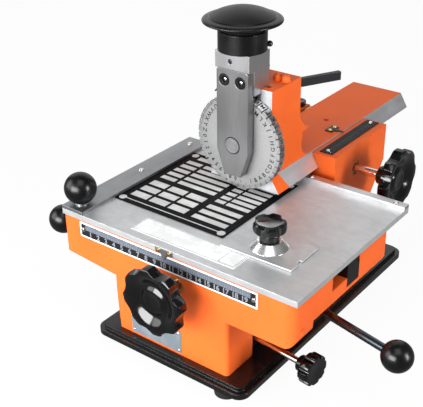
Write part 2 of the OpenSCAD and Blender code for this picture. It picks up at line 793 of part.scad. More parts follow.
module spacing_bracket() color(black) difference() {
  span([spacing_x + 4, leg_back, spacing_z - bracket_h / 2],
    [spacing_x + 4 + bracket_w, leg_back + bracket_d, spacing_z + bracket_h / 2]);
  on_spacing_axis() rotate([0, 90, 0]) translate([0, 0, -10])
    cylinder(d = spacing_rod_d + 2 * run_gap, h = bracket_w + 40);
  for (s = [-1, 1]) rod_y(bracket_screw_x, spacing_z + s * bracket_screw_rise, leg_back - over,
                          leg_back + bracket_d + over, bracket_screw_d + 2 * seat_gap);
}

table_screw_x = [for (k = [0:3]) table_x - 100 + k * 40];
fence_screw_y = [table_front + 0.517 * table_d, table_front + 0.927 * table_d];
back_screw_x = [table_x - 60, table_x + 30, table_x + table_w / 2 - 12];
fence_left = table_x - table_w / 2;
name_left = fence_left + fence_w + 0.3;
name_front = table_back - back_fence_w - 17 - name_d;
back_screw_y = table_back - back_fence_w / 2;
fence_screw_x = fence_left + fence_w * 0.45;
small_screw_d = 4;
pointer_x = table_x - 6;
pointer_screw_x = [pointer_x - 6.5, pointer_x + 6.5];
pointer_screw_d = 2.5;

module table_plate() color(silver) difference() {
  span([fence_left, table_front, table_bottom], [fence_left + table_w, table_back, table_top]);
  for (x = table_screw_x) {
    rod_z(x, bar_y, table_bottom - over, table_top + over, small_screw_d + 2 * seat_gap);
    translate([x, bar_y, table_top - 2.5])
      cylinder(d1 = small_screw_d + 0.02, d2 = small_screw_d + 5.02, h = 2.51);
  }
  for (y = fence_screw_y) rod_z(fence_screw_x, y, table_bottom - over, table_top + over,
    small_screw_d + 2 * seat_gap);
  for (x = back_screw_x) rod_z(x, back_screw_y, table_bottom - over, table_top + over,
    small_screw_d + 2 * seat_gap);
  for (x = pointer_screw_x) rod_y(x, table_bottom + table_t / 2, table_front - over, table_front + 6,
    pointer_screw_d + 2 * seat_gap);
  rod_z(grip_x, grip_y, table_bottom - over, table_top + over, stud_d + 2 * seat_gap);
  rod_z(clamp_x, clamp_y, table_bottom - over, table_top + over, stud_d + 2 * seat_gap);
}

module slide_bar() color(black) difference() {
  span([bed_left, bar_front, bar_bottom], [bed_right, bar_back, table_bottom]);
  span([bed_left - over, bar_back - keeper_in, keeper_z - slide_gap],
       [bed_right + over, bar_back + over, keeper_z + keeper_h + slide_gap]);
  for (x = table_screw_x) rod_z(x, bar_y, table_bottom - 16, table_bottom + over,
    small_screw_d + 2 * seat_gap);
}

module table_rack() color(steel) translate([front_axis_x - table_rack_l / 2, 0, table_rack_pitch])
  along_y(bar_front - rack_w, bar_front) rack_outline(table_rack_l, table_rack_l / 2, rack_body);

module table_screws() color(silver) {
  for (x = table_screw_x) translate([x, bar_y, table_top - 2.5]) {
    cylinder(d1 = small_screw_d, d2 = small_screw_d + 5, h = 2.5);
    translate([0, 0, -table_t - 8]) cylinder(d = small_screw_d, h = table_t + 8);
  }
  for (y = fence_screw_y) translate([fence_screw_x, y, fence_top])
    pan_screw(small_screw_d, fence_t + table_t, 7, 1.2);
  for (x = back_screw_x) translate([x, back_screw_y, fence_top])
    pan_screw(small_screw_d, fence_t + table_t, 6, 1.2);
}

module left_fence() color(steel) difference() {
  span([fence_left, table_front, table_top], [fence_left + fence_w, table_back, fence_top]);
  for (y = fence_screw_y) rod_z(fence_screw_x, y, table_top - over, fence_top + over,
    small_screw_d + 2 * seat_gap);
  rod_z(grip_x, grip_y, table_top - over, fence_top + over, stud_d + 2 * seat_gap);
}

module back_fence() color(steel) difference() {
  span([fence_left + fence_w, table_back - back_fence_w, table_top],
    [fence_left + table_w, table_back, fence_top]);
  for (x = back_screw_x) rod_z(x, back_screw_y, table_top - over, fence_top + over,
    small_screw_d + 2 * seat_gap);
}

module table_pointer() color(steel) {
  mid = table_bottom + table_t / 2;
  along_y(table_front - 1.2, table_front) difference() {
    polygon([[pointer_x - 10, mid - 2.7], [pointer_x - 4, mid - 2.7], [pointer_x, mid - 9],
      [pointer_x + 4, mid - 2.7],
             [pointer_x + 10, mid - 2.7], [pointer_x + 10, mid + 2.7], [pointer_x - 10, mid + 2.7]]);
    for (x = pointer_screw_x) translate([x, mid]) circle(d = pointer_screw_d + 2 * seat_gap);
  }
}

module pointer_screws() color(brass) for (x = pointer_screw_x)
  translate([x, table_front - 1.2, table_bottom + table_t / 2]) rotate([90, 0, 0])
    pan_screw(pointer_screw_d, 6, 4.4, 1.4);

module grip_stud() color(steel) {
  rod_z(grip_x, grip_y, table_bottom, fence_top + grip_neck_h + grip_ball_d * 0.55, stud_d);
  difference() {
    rod_z(grip_x, grip_y, fence_top, fence_top + grip_neck_h, grip_neck_d);
    rod_z(grip_x, grip_y, fence_top - over, fence_top + grip_neck_h + over, stud_d - 1);
  }
}

module grip_ball() color(black)
  translate([grip_x, grip_y, fence_top + grip_neck_h + grip_ball_d * 0.47])
    ball_knob(grip_ball_d, stud_d + 2 * seat_gap, grip_ball_d * 0.6);

clamp_plate_z = table_top + 0.5;
washer_z = clamp_plate_z + clamp_plate_t;
clamp_knob_z = washer_z + washer_h;

module clamp_stud() color(steel) {
  rod_z(clamp_x, clamp_y, table_bottom, clamp_knob_z + neck_h, stud_d);
  rod_z(clamp_x, clamp_y, table_top, clamp_plate_z, stud_d + 8);
}

module clamp_plate() color(silver) difference() {
  translate([clamp_x, clamp_y, clamp_plate_z]) rotate([0, 0, clamp_angle]) linear_extrude(clamp_plate_t)
    difference() {
    square([clamp_plate_w, clamp_plate_d], center = true);
    translate([clamp_plate_w / 2 - 3, -11]) square([over + 3, 6]);
  }
  rod_z(clamp_x, clamp_y, table_top, washer_z + over, stud_d + 0.6);
}

module clamp_washer() color(silver) translate([clamp_x, clamp_y, washer_z]) difference() {
  cylinder(d1 = washer_d, d2 = washer_d - 14, h = washer_h);
  translate([0, 0, -over]) cylinder(d = stud_d + 0.6, h = washer_h + 2 * over);
}

module nameplate() color("#202022") difference() {
  span([name_left, name_front, table_top], [name_left + name_w, name_front + name_d, table_top + name_t]);
  for (x = [6, name_w - 6], y = [6, name_d - 6])
    rod_z(name_left + x, name_front + y, table_top - over, table_top + name_t + over, 5);
}

module clamp_knob() color(black)
  translate([clamp_x, clamp_y, clamp_knob_z + 0.3 + neck_h + clamp_head_h]) rotate([0, 0, -48])
    lobed_knob(clamp_knob_d, clamp_head_h, 5, 30, 4.2, 19, neck_h, stud_d + 2 * run_gap,
      clamp_knob_d * 0.5, 0);

module front_shaft() color(steel)
  rod_y(front_axis_x, front_axis_z, bed_front - knob_stand - knob_bore_l + 0.5, bar_front - 0.6, shaft_d);

module front_pinion() color(steel) translate([front_axis_x, 0, front_axis_z])
  along_y(front_pinion_y, front_pinion_y + pinion_w) difference() {
    pinion_outline();
    circle(d = shaft_d + 2 * seat_gap);
  }

knob_lobes = 8;
knob_hub_d = shaft_d + 10;
knob_hub_l = 15;
knob_stand = 11;
front_knob_rest = 9.4;
knob_dish = 4.5;
knob_bore_l = knob_hub_l + knob_t - knob_dish - 3;

module hand_knob() lobed_knob(knob_d, knob_t, knob_lobes, 14, knob_d * 0.065, knob_hub_d, knob_hub_l,
  shaft_d + 2 * seat_gap, knob_d * 0.74, knob_dish);

module front_knob() color(black)
  translate([front_axis_x, bed_front - knob_stand - knob_hub_l - knob_t, front_axis_z])
    rotate([90, 0, 0]) rotate(front_knob_rest) hand_knob();

side_knob_stand = 29;

module side_shaft() color(steel)
  rod_x(side_axis_y, side_axis_z, column_left + 15, column_right + side_knob_stand + knob_bore_l - 0.5,
    shaft_d);

module side_pinion() color(steel) translate([0, side_axis_y, side_axis_z])
  along_x(arm_x - pinion_w / 2, arm_x + pinion_w / 2) difference() {
    pinion_outline();
    circle(d = shaft_d + 2 * seat_gap);
  }

module side_knob() color(black)
  translate([column_right + side_knob_stand + knob_hub_l + knob_t, side_axis_y, side_axis_z])
    rotate([0, 90, 0]) hand_knob();

// Back of the head in the YZ plane: a hollow curve out to a lip, and a smaller one under it down to the arm
module gusset_profile() difference() {
  foot = gusset_web + gusset_foot_r;
  lip = gusset_top - gusset_r - 1.2;
  polygon([[head_back - over, arm_top - over], [head_back + foot, arm_top - over],
           [head_back + foot, arm_top + gusset_foot_r], [head_back + gusset_web, arm_top + gusset_foot_r],
           [head_back + gusset_web + 2, lip - 0.8], [head_back + gusset_out, lip],
           [head_back + gusset_out, gusset_top], [head_back - over, gusset_top]]);
  translate([head_back + foot, arm_top + gusset_foot_r]) circle(gusset_foot_r);
  translate([head_back + gusset_r, gusset_top]) circle(gusset_r);
}

head_bolt_x = [arm_x + 18, arm_x + 28];
head_bolt_y = arm_front + 32;
lock_pin_y = head_back + lock_lug_d / 2;
pointer_y = column_front + 62;

module arm_casting() color(orange) difference() {
  union() {
    translate([arm_x, 0, arm_bottom]) along_y(arm_front, arm_rear) dovetail(0, 0, arm_t);
    span([arm_x - head_w / 2, arm_front, arm_bottom + arm_t / 2], [arm_x + head_w / 2, head_back, head_top]);
    along_x(arm_x - head_w / 2, arm_x + head_w / 2) gusset_profile();
    // Lug of the lock lever
    span([lock_x - lock_lug_d / 2, head_back - over, lock_z - lock_h / 2 - 8],
      [lock_x + lock_lug_d / 2, lock_pin_y, lock_z - lock_h / 2 - 0.3]);
    rod_z(lock_x, lock_pin_y, lock_z - lock_h / 2 - 8, lock_z - lock_h / 2 - 0.3, lock_lug_d);
    rod_z(lock_x, lock_pin_y, lock_z - lock_h / 2 - 8, lock_z + lock_h / 2 + 1, 7);
  }
  // Slot of the plunger slide
  span([arm_x - block_w / 2 - slide_gap, arm_front - over, slot_bottom],
       [arm_x + block_w / 2 + slide_gap, arm_front + stem_d + over, head_top + over]);
  span([arm_x - flange_w / 2 - slide_gap, arm_front + stem_d - slide_gap, slot_bottom],
       [arm_x + flange_w / 2 + slide_gap, slide_back + slide_gap, head_top + over]);
  // Groove of the rack
  span([arm_x - arm_rack_w / 2, arm_rack_front, arm_bottom - over],
       [arm_x + arm_rack_w / 2, arm_rack_front + arm_rack_l,
         arm_rack_pitch + 1.25 * gear_module + rack_body]);
  // Oil hole and the screws of the head and pointer
  rod_z(arm_x + 2, column_front + 82, arm_top - 5, arm_top + over, 7);
  for (x = head_bolt_x) rod_z(x, head_bolt_y, head_top - 20, head_top + over, 6 + 2 * seat_gap);
  for (y = [-5, 5]) rod_z(arm_x + 22, pointer_y + y, arm_top - 5, arm_top + over,
    pointer_screw_d + 2 * seat_gap);
}

module arm_rack() color(steel) translate([0, arm_rack_front, arm_rack_pitch])
  along_x(arm_x - arm_rack_w / 2, arm_x + arm_rack_w / 2)
    rack_outline(arm_rack_l, side_axis_y - arm_rack_front, rack_body);

module arm_pointer() color(steel) translate([0, 0, arm_top]) linear_extrude(1.2) difference() {
  polygon([[arm_x + 17, pointer_y - 8], [arm_x + 26, pointer_y - 8], [arm_x + 26, pointer_y - 3],
    [arm_x + 37, pointer_y],
           [arm_x + 26, pointer_y + 3], [arm_x + 26, pointer_y + 8], [arm_x + 17, pointer_y + 8]]);
  for (y = [-5, 5]) translate([arm_x + 22, pointer_y + y]) circle(d = pointer_screw_d + 2 * seat_gap);
}

module arm_screws() color(brass) {
  for (y = [-5, 5]) translate([arm_x + 22, pointer_y + y, arm_top + 1.2])
    pan_screw(pointer_screw_d, 5, 4.4, 1.4);
  for (x = head_bolt_x) translate([x, head_bolt_y, head_top]) {
    translate([0, 0, -18]) cylinder(d = 6, h = 18);
    cylinder(d = 9, h = 3);
    translate([0, 0, 3]) intersection() {
      cylinder(d = 9, h = 5);
      sphere(d = 9);
    }
  }
}

module plunger_slide() color(silver) difference() {
  union() {
    span([arm_x - block_w / 2, arm_front, slide_bottom], [arm_x + block_w / 2, slide_back, block_top - 1]);
    span([arm_x - flange_w / 2, arm_front + stem_d, slide_bottom],
      [arm_x + flange_w / 2, slide_back, head_top - 6]);
    span([arm_x - block_w / 2, block_back, block_bottom],
      [arm_x + block_w / 2, arm_front + over, block_top - 1]);
  }
  rod_y(arm_x, axle_z, arm_front - over, arm_front + 6, axle_tail_d + 2 * seat_gap);
  rod_z(arm_x, spring_y, slide_bottom - over, spring_top, 2 * spring_bore_r);
  for (s = [-1, 1]) rod_y(arm_x + s * 12, block_screw_z, block_back - over, slide_back + over,
    6 + 2 * seat_gap);
}

block_screw_z = block_top - 20;

module plunger_block() color(silver) difference() {
  span([arm_x - block_w / 2, plate_front, block_bottom], [arm_x + block_w / 2, block_back, block_top]);
  span([arm_x - block_w / 2 - over, plate_front - over, block_bottom - over],
    [arm_x + block_w / 2 + over, plate_back, plate_top + 0.2]);
  for (s = [-1, 1]) {
    rod_y(arm_x + s * plate_screw_x, plate_screw_z, plate_back - over, plate_back + 4.5, 5 + 2 * seat_gap);
    rod_y(arm_x + s * 12, block_screw_z, block_back - 5, block_back + over, 6 + 2 * seat_gap);
  }
  rod_y(arm_x - 2.5, block_top - 9, plate_front - over, plate_front + 9, 5);
}

module bracket_plate() color(silver) difference() {
  along_y(plate_front, plate_back) difference() {
    union() {
      polygon([[arm_x - plate_w / 2, plate_top - 3], [arm_x - plate_w / 2, plate_bottom + plate_taper],
               [arm_x - plate_w / 2 + 8.5, plate_bottom], [arm_x + plate_w / 2 - 8.5, plate_bottom],
               [arm_x + plate_w / 2, plate_bottom + plate_taper], [arm_x + plate_w / 2, plate_top - 3]]);
      translate([arm_x - plate_w / 2 + 3, plate_top - 6]) square([plate_w - 6, 6]);
      for (s = [-1, 1]) translate([arm_x + s * (plate_w / 2 - 3), plate_top - 3]) circle(3);
    }
    translate([arm_x, axle_z]) circle(d = axle_d + 2 * seat_gap);
    for (s = [-1, 1]) translate([arm_x + s * plate_screw_x, plate_screw_z]) circle(d = 5 + 2 * seat_gap);
  }
  for (s = [-1, 1]) rod_y(arm_x + s * plate_screw_x, plate_screw_z, plate_front - over, plate_front + 4.5,
    12.4);
}

// Height of the set screw's axis over the collar's underside
collar_screw_up = 4.2;

// Places a child on the set screw's axis, which runs along +X out of the collar
module on_collar_screw() translate([arm_x, cap_y, block_top + collar_screw_up]) rotate([0, 0, 40]) children();

module plunger_screws() color(steel) {
  for (s = [-1, 1]) translate([arm_x + s * plate_screw_x, plate_front, plate_screw_z]) rotate([90, 0, 0])
    cap_screw(5, plate_t - 4.5 + 4, 11.4, 4.5);
  for (s = [-1, 1]) translate([arm_x + s * 12, slide_back + 5, block_screw_z]) rotate([-90, 0, 0])
    cap_screw(6, slide_back - block_back + 4, 10, 5);
  on_collar_screw() {
    rod_x(0, 0, collar_d / 2 - 5, collar_d / 2 + 4, 3);
    translate([collar_d / 2 + 2, 0, 0]) sphere(d = 6);
  }
}

// Axle with a ring groove in its front end, which stands a little proud of the bracket plate
module wheel_axle() color(steel) {
  proud = 0.8;
  difference() {
    rod_y(arm_x, axle_z, plate_front - proud, wheel_back + 0.6, axle_d);
    along_y(plate_front - proud - over, plate_front - 0.3) translate([arm_x, axle_z]) difference() {
      circle(d = axle_d * 0.8);
      circle(d = axle_d * 0.68);
    }
  }
  rod_y(arm_x, axle_z, wheel_back, arm_front + 5.5, axle_tail_d);
}

module collar() color(black) difference() {
  rod_z(arm_x, cap_y, block_top, collar_top, collar_d);
  on_collar_screw() rod_x(0, 0, collar_d / 2 - 7, collar_d / 2 + over, 6 + 2 * seat_gap);
}

module mushroom_cap() color(black) translate([arm_x, cap_y, 0]) {
  dome = cap_h - (cap_rim_z - collar_top) - 1;
  dome_r = (cap_d * cap_d / 4 + dome * dome) / (2 * dome);
  translate([0, 0, collar_top]) cylinder(d = collar_d, h = 2);
  translate([0, 0, collar_top + 2]) cylinder(d1 = collar_d, d2 = cap_d, h = cap_rim_z - collar_top - 2);
  translate([0, 0, cap_rim_z]) cylinder(d = cap_d, h = 1);
  translate([0, 0, cap_rim_z + 1]) intersection() {
    translate([0, 0, dome - dome_r]) sphere(r = dome_r, $fn = 128);
    cylinder(d = cap_d, h = dome + over);
  }
}

// Points of one ring of the spring's wire at turn t, the coil's ends lying flat
function coil_height(t) = spring_wire / 2 + 0.1 + (spring_len - spring_wire - 0.2) * t / spring_turns;
function coil_ring(t, sides) = let (a = 360 * t, c = [cos(a), sin(a), 0])
  [for (k = [0:sides - 1]) let (b = 360 / sides * k)
    c * (spring_r + spring_wire / 2 * cos(b)) + [0, 0, coil_height(t) + spring_wire / 2 * sin(b)]];

spring_self_gap = (spring_len - spring_wire - 0.2) / spring_turns - spring_wire;
echo(spring_self_gap = spring_self_gap);

module return_spring() color(steel) translate([arm_x, spring_y, slot_bottom]) {
  sides = 6;
  rings = spring_turns * 8;
  points = [for (k = [0:rings]) each coil_ring(k / 8, sides)];
  walls = [for (k = [0:rings - 1], s = [0:sides - 1])
    let (a = k * sides + s, b = k * sides + (s + 1) % sides)
      each [[a, a + sides, b + sides], [a, b + sides, b]]];
  cap_low = [for (s = [1:sides - 2]) [0, s, s + 1]];
  cap_high = [for (s = [1:sides - 2]) [rings * sides, rings * sides + s + 1, rings * sides + s]];
  polyhedron(points, concat(walls, cap_low, cap_high));
}

module detent_leaf() color(black) {
  side = block_w / 2;
  along_y(plate_back + 1, block_back - 1) translate([arm_x, 0]) mirror([1, 0]) polygon([
    [side, block_bottom + 16], [side + 1.2, block_bottom + 16], [side + 1.2, block_bottom + 3],
    [side + 9, block_bottom - 4.6], [side + 8.2, block_bottom - 5.6], [side, block_bottom + 2.4]]);
}

module type_wheel() color(silver) difference() {
  rod_y(arm_x, axle_z, wheel_front, wheel_back, 2 * disc_r);
  rod_y(arm_x, axle_z, wheel_front - over, wheel_back + over, axle_d + 2 * run_gap);
}

type_w = 0.82 * PI * wheel_d / type_count;

module type_blocks() color(steel) for (i = [0:type_count - 1]) translate([arm_x, 0, axle_z])
  rotate([0, 360 / type_count * (i + 0.5), 0]) difference() {
    intersection() {
      span([-type_w / 2, wheel_front, 0], [type_w / 2, wheel_back, wheel_r + over]);
      rod_y(0, 0, wheel_front, wheel_back, wheel_d);
    }
    rod_y(0, 0, wheel_front - over, wheel_back + over, 2 * disc_r);
  }

// Places a child along the feed lever, the rod running along +X from the pivot
module on_feed_axis() translate([feed_x, feed_y, feed_hub_z]) rotate([0, 0, feed_angle]) children();

module feed_lever() color(steel) on_feed_axis() difference() {
  union() {
    translate([0, 0, -feed_hub_h / 2]) cylinder(d = feed_hub_d, h = feed_hub_h);
    rod_x(0, 0, feed_hub_d / 2 - 3, feed_l, feed_rod_d);
  }
  translate([0, 0, -feed_hub_h]) cylinder(d = feed_pin_d + 2 * run_gap, h = 2 * feed_hub_h);
}

module feed_ball() color(black) on_feed_axis() translate([feed_l, 0, 0]) rotate([0, 90, 0])
  ball_knob(feed_ball_d, feed_rod_d + 2 * seat_gap, feed_ball_d / 2 + 0.2);

module spacing_rod() color(silver) on_spacing_axis() {
  rod_x(0, 0, -8, spacing_knob_at, spacing_rod_d);
  rod_x(0, 0, -8, -1, spacing_rod_d + 8);
}

module spacing_knob() color(black) on_spacing_axis() translate([spacing_knob_at + 5.3, 0, 0])
  rotate([0, 90, 0])
  lobed_knob(spacing_knob_d, 12, 8, 26, 2.4, 16, 8, spacing_rod_d + 2 * seat_gap,
    spacing_knob_d * 0.5, 0);

module release_rod() color(steel)
  rod_x(release_y, release_z, bed_left - release_out, bed_left + bed_wall + release_travel + 6,
    release_rod_d);

module release_ball() color(black) translate([bed_left - release_out, release_y, release_z])
  rotate([0, -90, 0])
  ball_knob(release_ball_d, release_rod_d + 2 * seat_gap, release_ball_d / 2 + 0.2);

module lock_lever() color(black) translate([lock_x, lock_pin_y, lock_z]) rotate([0, 0, -lock_angle])
  difference() {
  union() {
    translate([0, 0, -lock_h / 2]) cylinder(d = lock_lug_d, h = lock_h);
    span([-lock_t / 2, 0, -lock_h / 2], [lock_t / 2, lock_l, lock_h / 2]);
  }
  translate([0, 0, -lock_h]) cylinder(d = 7 + 2 * run_gap, h = 2 * lock_h);
}

module arm_clamp() color(black) translate([arm_clamp_x, arm_clamp_y, column_top + 0.3]) {
  translate([0, 0, arm_knob_t + arm_knob_neck])
    lobed_knob(arm_knob_d, arm_knob_t, 6, 14, 1.8, 12, arm_knob_neck, stud_d - 3, 9, 0);
  translate([0, 0, -arm_clamp_l]) cylinder(d = stud_d, h = arm_clamp_l);
}

base_plate();
rubber_feet();
frame_bolts();
bed_casting();
column_casting();
table_keeper();
front_scale();
column_scale();
scale_screws();
arm_gib();
gib_screws();
front_bushes();
side_bushes();
feed_pivot();
spacing_bracket();
table_plate();
slide_bar();
table_rack();
table_screws();
left_fence();
back_fence();
table_pointer();
pointer_screws();
grip_stud();
grip_ball();
clamp_stud();
clamp_plate();
clamp_washer();
nameplate();
clamp_knob();
front_shaft();
front_pinion();
front_knob();
side_shaft();
side_pinion();
side_knob();
arm_casting();
arm_rack();
arm_pointer();
arm_screws();
plunger_slide();
plunger_block();
bracket_plate();
plunger_screws();
wheel_axle();
collar();
mushroom_cap();
return_spring();
detent_leaf();
type_wheel();
type_blocks();
feed_lever();
feed_ball();
spacing_rod();
spacing_knob();
release_rod();
release_ball();
lock_lever();
arm_clamp();
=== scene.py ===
"""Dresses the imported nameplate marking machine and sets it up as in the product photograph.

The CAD nodes keep their places and get procedural finishes. The hand grips, the push cap, the printed
scales, the type characters and the bare plates are modelled here and ride on the CAD bodies.
All lengths are metres in the machine's own frame: +X right, +Y back, +Z up.
"""

from __future__ import annotations

import json
import logging
import math
from collections.abc import Sequence
from dataclasses import dataclass
from enum import Enum

import bpy
from mathutils import Matrix, Vector

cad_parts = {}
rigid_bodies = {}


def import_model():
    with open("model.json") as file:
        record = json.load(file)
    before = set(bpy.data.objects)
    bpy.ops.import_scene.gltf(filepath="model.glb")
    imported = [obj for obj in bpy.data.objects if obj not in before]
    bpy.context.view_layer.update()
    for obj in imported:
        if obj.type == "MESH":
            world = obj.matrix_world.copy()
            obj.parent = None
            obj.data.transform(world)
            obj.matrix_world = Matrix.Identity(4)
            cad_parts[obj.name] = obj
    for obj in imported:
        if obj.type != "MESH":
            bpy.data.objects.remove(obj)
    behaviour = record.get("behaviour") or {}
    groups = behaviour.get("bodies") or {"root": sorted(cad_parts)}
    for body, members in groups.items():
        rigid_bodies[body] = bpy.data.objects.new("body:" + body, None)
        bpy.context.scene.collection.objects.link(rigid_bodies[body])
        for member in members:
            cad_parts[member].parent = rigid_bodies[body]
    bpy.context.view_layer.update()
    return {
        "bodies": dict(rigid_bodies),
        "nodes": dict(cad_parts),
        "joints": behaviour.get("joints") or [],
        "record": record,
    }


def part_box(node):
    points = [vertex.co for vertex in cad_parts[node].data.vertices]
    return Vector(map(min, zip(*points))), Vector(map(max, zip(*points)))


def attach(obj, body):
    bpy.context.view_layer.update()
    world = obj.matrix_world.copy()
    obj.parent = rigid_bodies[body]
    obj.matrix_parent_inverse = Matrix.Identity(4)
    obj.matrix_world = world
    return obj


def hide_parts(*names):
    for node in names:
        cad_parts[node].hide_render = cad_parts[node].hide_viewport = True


log = logging.getLogger("marking_machine")
MM = 0.001
WELD_GAP = 0.000002
FLOAT = "NodeSocketFloat"
VECTOR = "NodeSocketVector"
Colour = tuple[float, float, float]
Point = tuple[float, float, float]
Ring = tuple[float, float]
Edges = tuple[float, float, float, float]
Piece = bpy.types.Object
Node = bpy.types.Node
Tree = bpy.types.NodeTree
Socket = bpy.types.NodeSocket


class Facing(Enum):
    """The way a turned or printed piece looks out of the machine."""

    FRONT = "front"
    RIGHT = "right"
    UP = "up"

    def turn(self) -> Matrix:
        """Finds the turn of a piece that looks this way.

        Returns:
            The rotation that takes +Z this way, with the piece's own +Y kept upright.
        """
        if self is Facing.UP:
            return Matrix.Identity(4)
        upright = Matrix.Rotation(math.radians(90), 4, "X")
        if self is Facing.FRONT:
            return upright
        return Matrix.Rotation(math.radians(90), 4, "Z") @ upright


class Bare(Enum):
    """Which faces of a painted piece are left as bare metal."""

    NONE = "none"
    ARM_FACES = "arm faces"
    LOW_SCREWS = "low screws"


class Workshop:
    """Modelling moves shared by all the pieces, each made with Blender's own operators."""

    @staticmethod
    def clear() -> None:
        """Leaves edit mode and deselects everything."""
        if bpy.context.mode != "OBJECT":
            bpy.ops.object.mode_set(mode="OBJECT")
        bpy.ops.object.select_all(action="DESELECT")

    @staticmethod
    def pick(*objects: Piece) -> None:
        """Selects only these objects, the first one active.

        Args:
            objects: the objects to select.
        """
        Workshop.clear()
        for each in objects:
            each.select_set(True)
        bpy.context.view_layer.objects.active = objects[0]

    @staticmethod
    def settle(piece: Piece) -> None:
        """Puts the piece's place, turn and size into its mesh."""
        Workshop.pick(piece)
        bpy.ops.object.transform_apply(location=True, rotation=True, scale=True)

    @staticmethod
    def place(piece: Piece, matrix: Matrix) -> None:
        """Moves the piece's mesh by a matrix, leaving the object at the origin."""
        piece.matrix_world = matrix @ piece.matrix_world
        Workshop.settle(piece)

    @staticmethod
    def smooth(piece: Piece, degrees: float = 40.0) -> None:
        """Shades the piece smooth, with edges sharper than an angle left crisp."""
        Workshop.pick(piece)
        bpy.ops.object.shade_smooth_by_angle(angle=math.radians(degrees))

    @staticmethod
    def finish_modifier(piece: Piece, kind: str, **settings: object) -> None:
        """Adds one modifier, sets it and applies it.

        Args:
            piece: the object that gets the modifier.
            kind: Blender's name of the modifier.
            settings: its properties.
        """
        Workshop.pick(piece)
        modifier = piece.modifiers.new("shape", kind)
        for key, value in settings.items():
            setattr(modifier, key, value)
        bpy.ops.object.modifier_apply(modifier=modifier.name)

    @staticmethod
    def rounded(piece: Piece, width: float, segments: int, degrees: float = 35.0) -> None:
        """Rounds the piece's sharp edges."""
        Workshop.finish_modifier(
            piece, "BEVEL", width=width, segments=segments, limit_method="ANGLE",
            angle_limit=math.radians(degrees), use_clamp_overlap=True)

    @staticmethod
    def turned(name: str, rings: list[Ring], sides: int) -> Piece:
        """Turns a closed round piece about Z by extruding a disc from ring to ring.

        Args:
            name: the new object's name.
            rings: (radius, height) of each ring, from the first cap to the last.
            sides: points round each ring.

        Returns:
            The new object, at the origin.
        """
        Workshop.clear()
        radius, height = rings[0]
        bpy.ops.mesh.primitive_circle_add(
            vertices=sides, radius=radius, fill_type="NGON", location=(0, 0, height))
        piece = bpy.context.object
        piece.name = name
        Workshop.settle(piece)
        bpy.ops.object.mode_set(mode="EDIT")
        bpy.ops.mesh.select_mode(type="FACE")
        bpy.ops.mesh.select_all(action="SELECT")
        for next_radius, next_height in rings[1:]:
            bpy.ops.mesh.extrude_region_move(
                TRANSFORM_OT_translate={"value": (0, 0, next_height - height)})
            scale = next_radius / radius
            bpy.ops.transform.resize(value=(scale, scale, 1), center_override=(0, 0, next_height))
            radius, height = next_radius, next_height
        bpy.ops.mesh.select_all(action="SELECT")
        bpy.ops.mesh.normals_make_consistent(inside=False)
        bpy.ops.object.mode_set(mode="OBJECT")
        return piece

    @staticmethod
    def slab(name: str, low: Point, high: Point, edge: float = 0.0) -> Piece:
        """Makes a block between two corners, its edges rounded a little.

        Args:
            name: the new object's name.
            low: the lowest corner.
            high: the highest corner.
            edge: the rounding's width, or 0.

        Returns:
            The new object, at the origin.
        """
        Workshop.clear()
        middle = [(a + b) / 2 for a, b in zip(low, high)]
        bpy.ops.mesh.primitive_cube_add(size=1, location=middle)
        piece = bpy.context.object
        piece.name = name
        piece.scale = [b - a for a, b in zip(low, high)]
        Workshop.settle(piece)
        if edge > 0:
            Workshop.rounded(piece, edge, 2)
        return piece

    @staticmethod
    def joined(name: str, parts: list[Piece]) -> Piece:
        """Joins several meshes into one object.

        Args:
            name: the joined object's name.
            parts: the objects to join.

        Returns:
            The joined object.
        """
        Workshop.pick(*parts)
        if len(parts) > 1:
            bpy.ops.object.join()
        piece = bpy.context.view_layer.objects.active
        piece.name = name
        return piece

    @staticmethod
    def copied(piece: Piece, name: str) -> Piece:
        """Copies a piece with its own mesh.

        Args:
            piece: the piece to copy.
            name: the copy's name.

        Returns:
            The copy.
        """
        Workshop.pick(piece)
        bpy.ops.object.duplicate()
        twin = bpy.context.object
        twin.name = name
        return twin

    @staticmethod
    def spread(name: str, piece: Piece, spots: list[Point], way: Facing) -> Piece:
        """Puts a piece and copies of it in several places and joins them.

        Args:
            name: the joined object's name.
            piece: the piece, modelled at the origin.
            spots: where each one goes.
            way: the way they all look.

        Returns:
            The joined object.
        """
        parts = [piece] + [Workshop.copied(piece, name) for _ in spots[1:]]
        for part, spot in zip(parts, spots):
            Workshop.place(part, Matrix.Translation(spot) @ way.turn())
        return Workshop.joined(name, parts)

    @staticmethod
    def character(text: str, height: float, depth: float, weight: float) -> Piece:
        """Makes one raised character or number, flat on XY and centred.

        Args:
            text: what it reads.
            height: the letter size.
            depth: how far it stands out on each side of XY.
            weight: how much its strokes are thickened.

        Returns:
            The mesh object.
        """
        Workshop.clear()
        bpy.ops.object.text_add()
        piece = bpy.context.object
        piece.data.body = text
        piece.data.size = height
        piece.data.extrude = depth
        piece.data.offset = weight
        piece.data.resolution_u = 3
        piece.data.align_x = "CENTER"
        piece.data.align_y = "CENTER"
        bpy.ops.object.convert(target="MESH")
        piece = bpy.context.object
        Workshop.weld(piece)
        return piece

    @staticmethod
    def weld(piece: Piece) -> None:
        """Merges points that lie together and turns all faces outward.

        Args:
            piece: the mesh object.
        """
        Workshop.pick(piece)
        bpy.ops.object.mode_set(mode="EDIT")
        bpy.ops.mesh.select_all(action="SELECT")
        bpy.ops.mesh.remove_doubles(threshold=WELD_GAP)
        bpy.ops.mesh.normals_make_consistent(inside=False)
        bpy.ops.object.mode_set(mode="OBJECT")


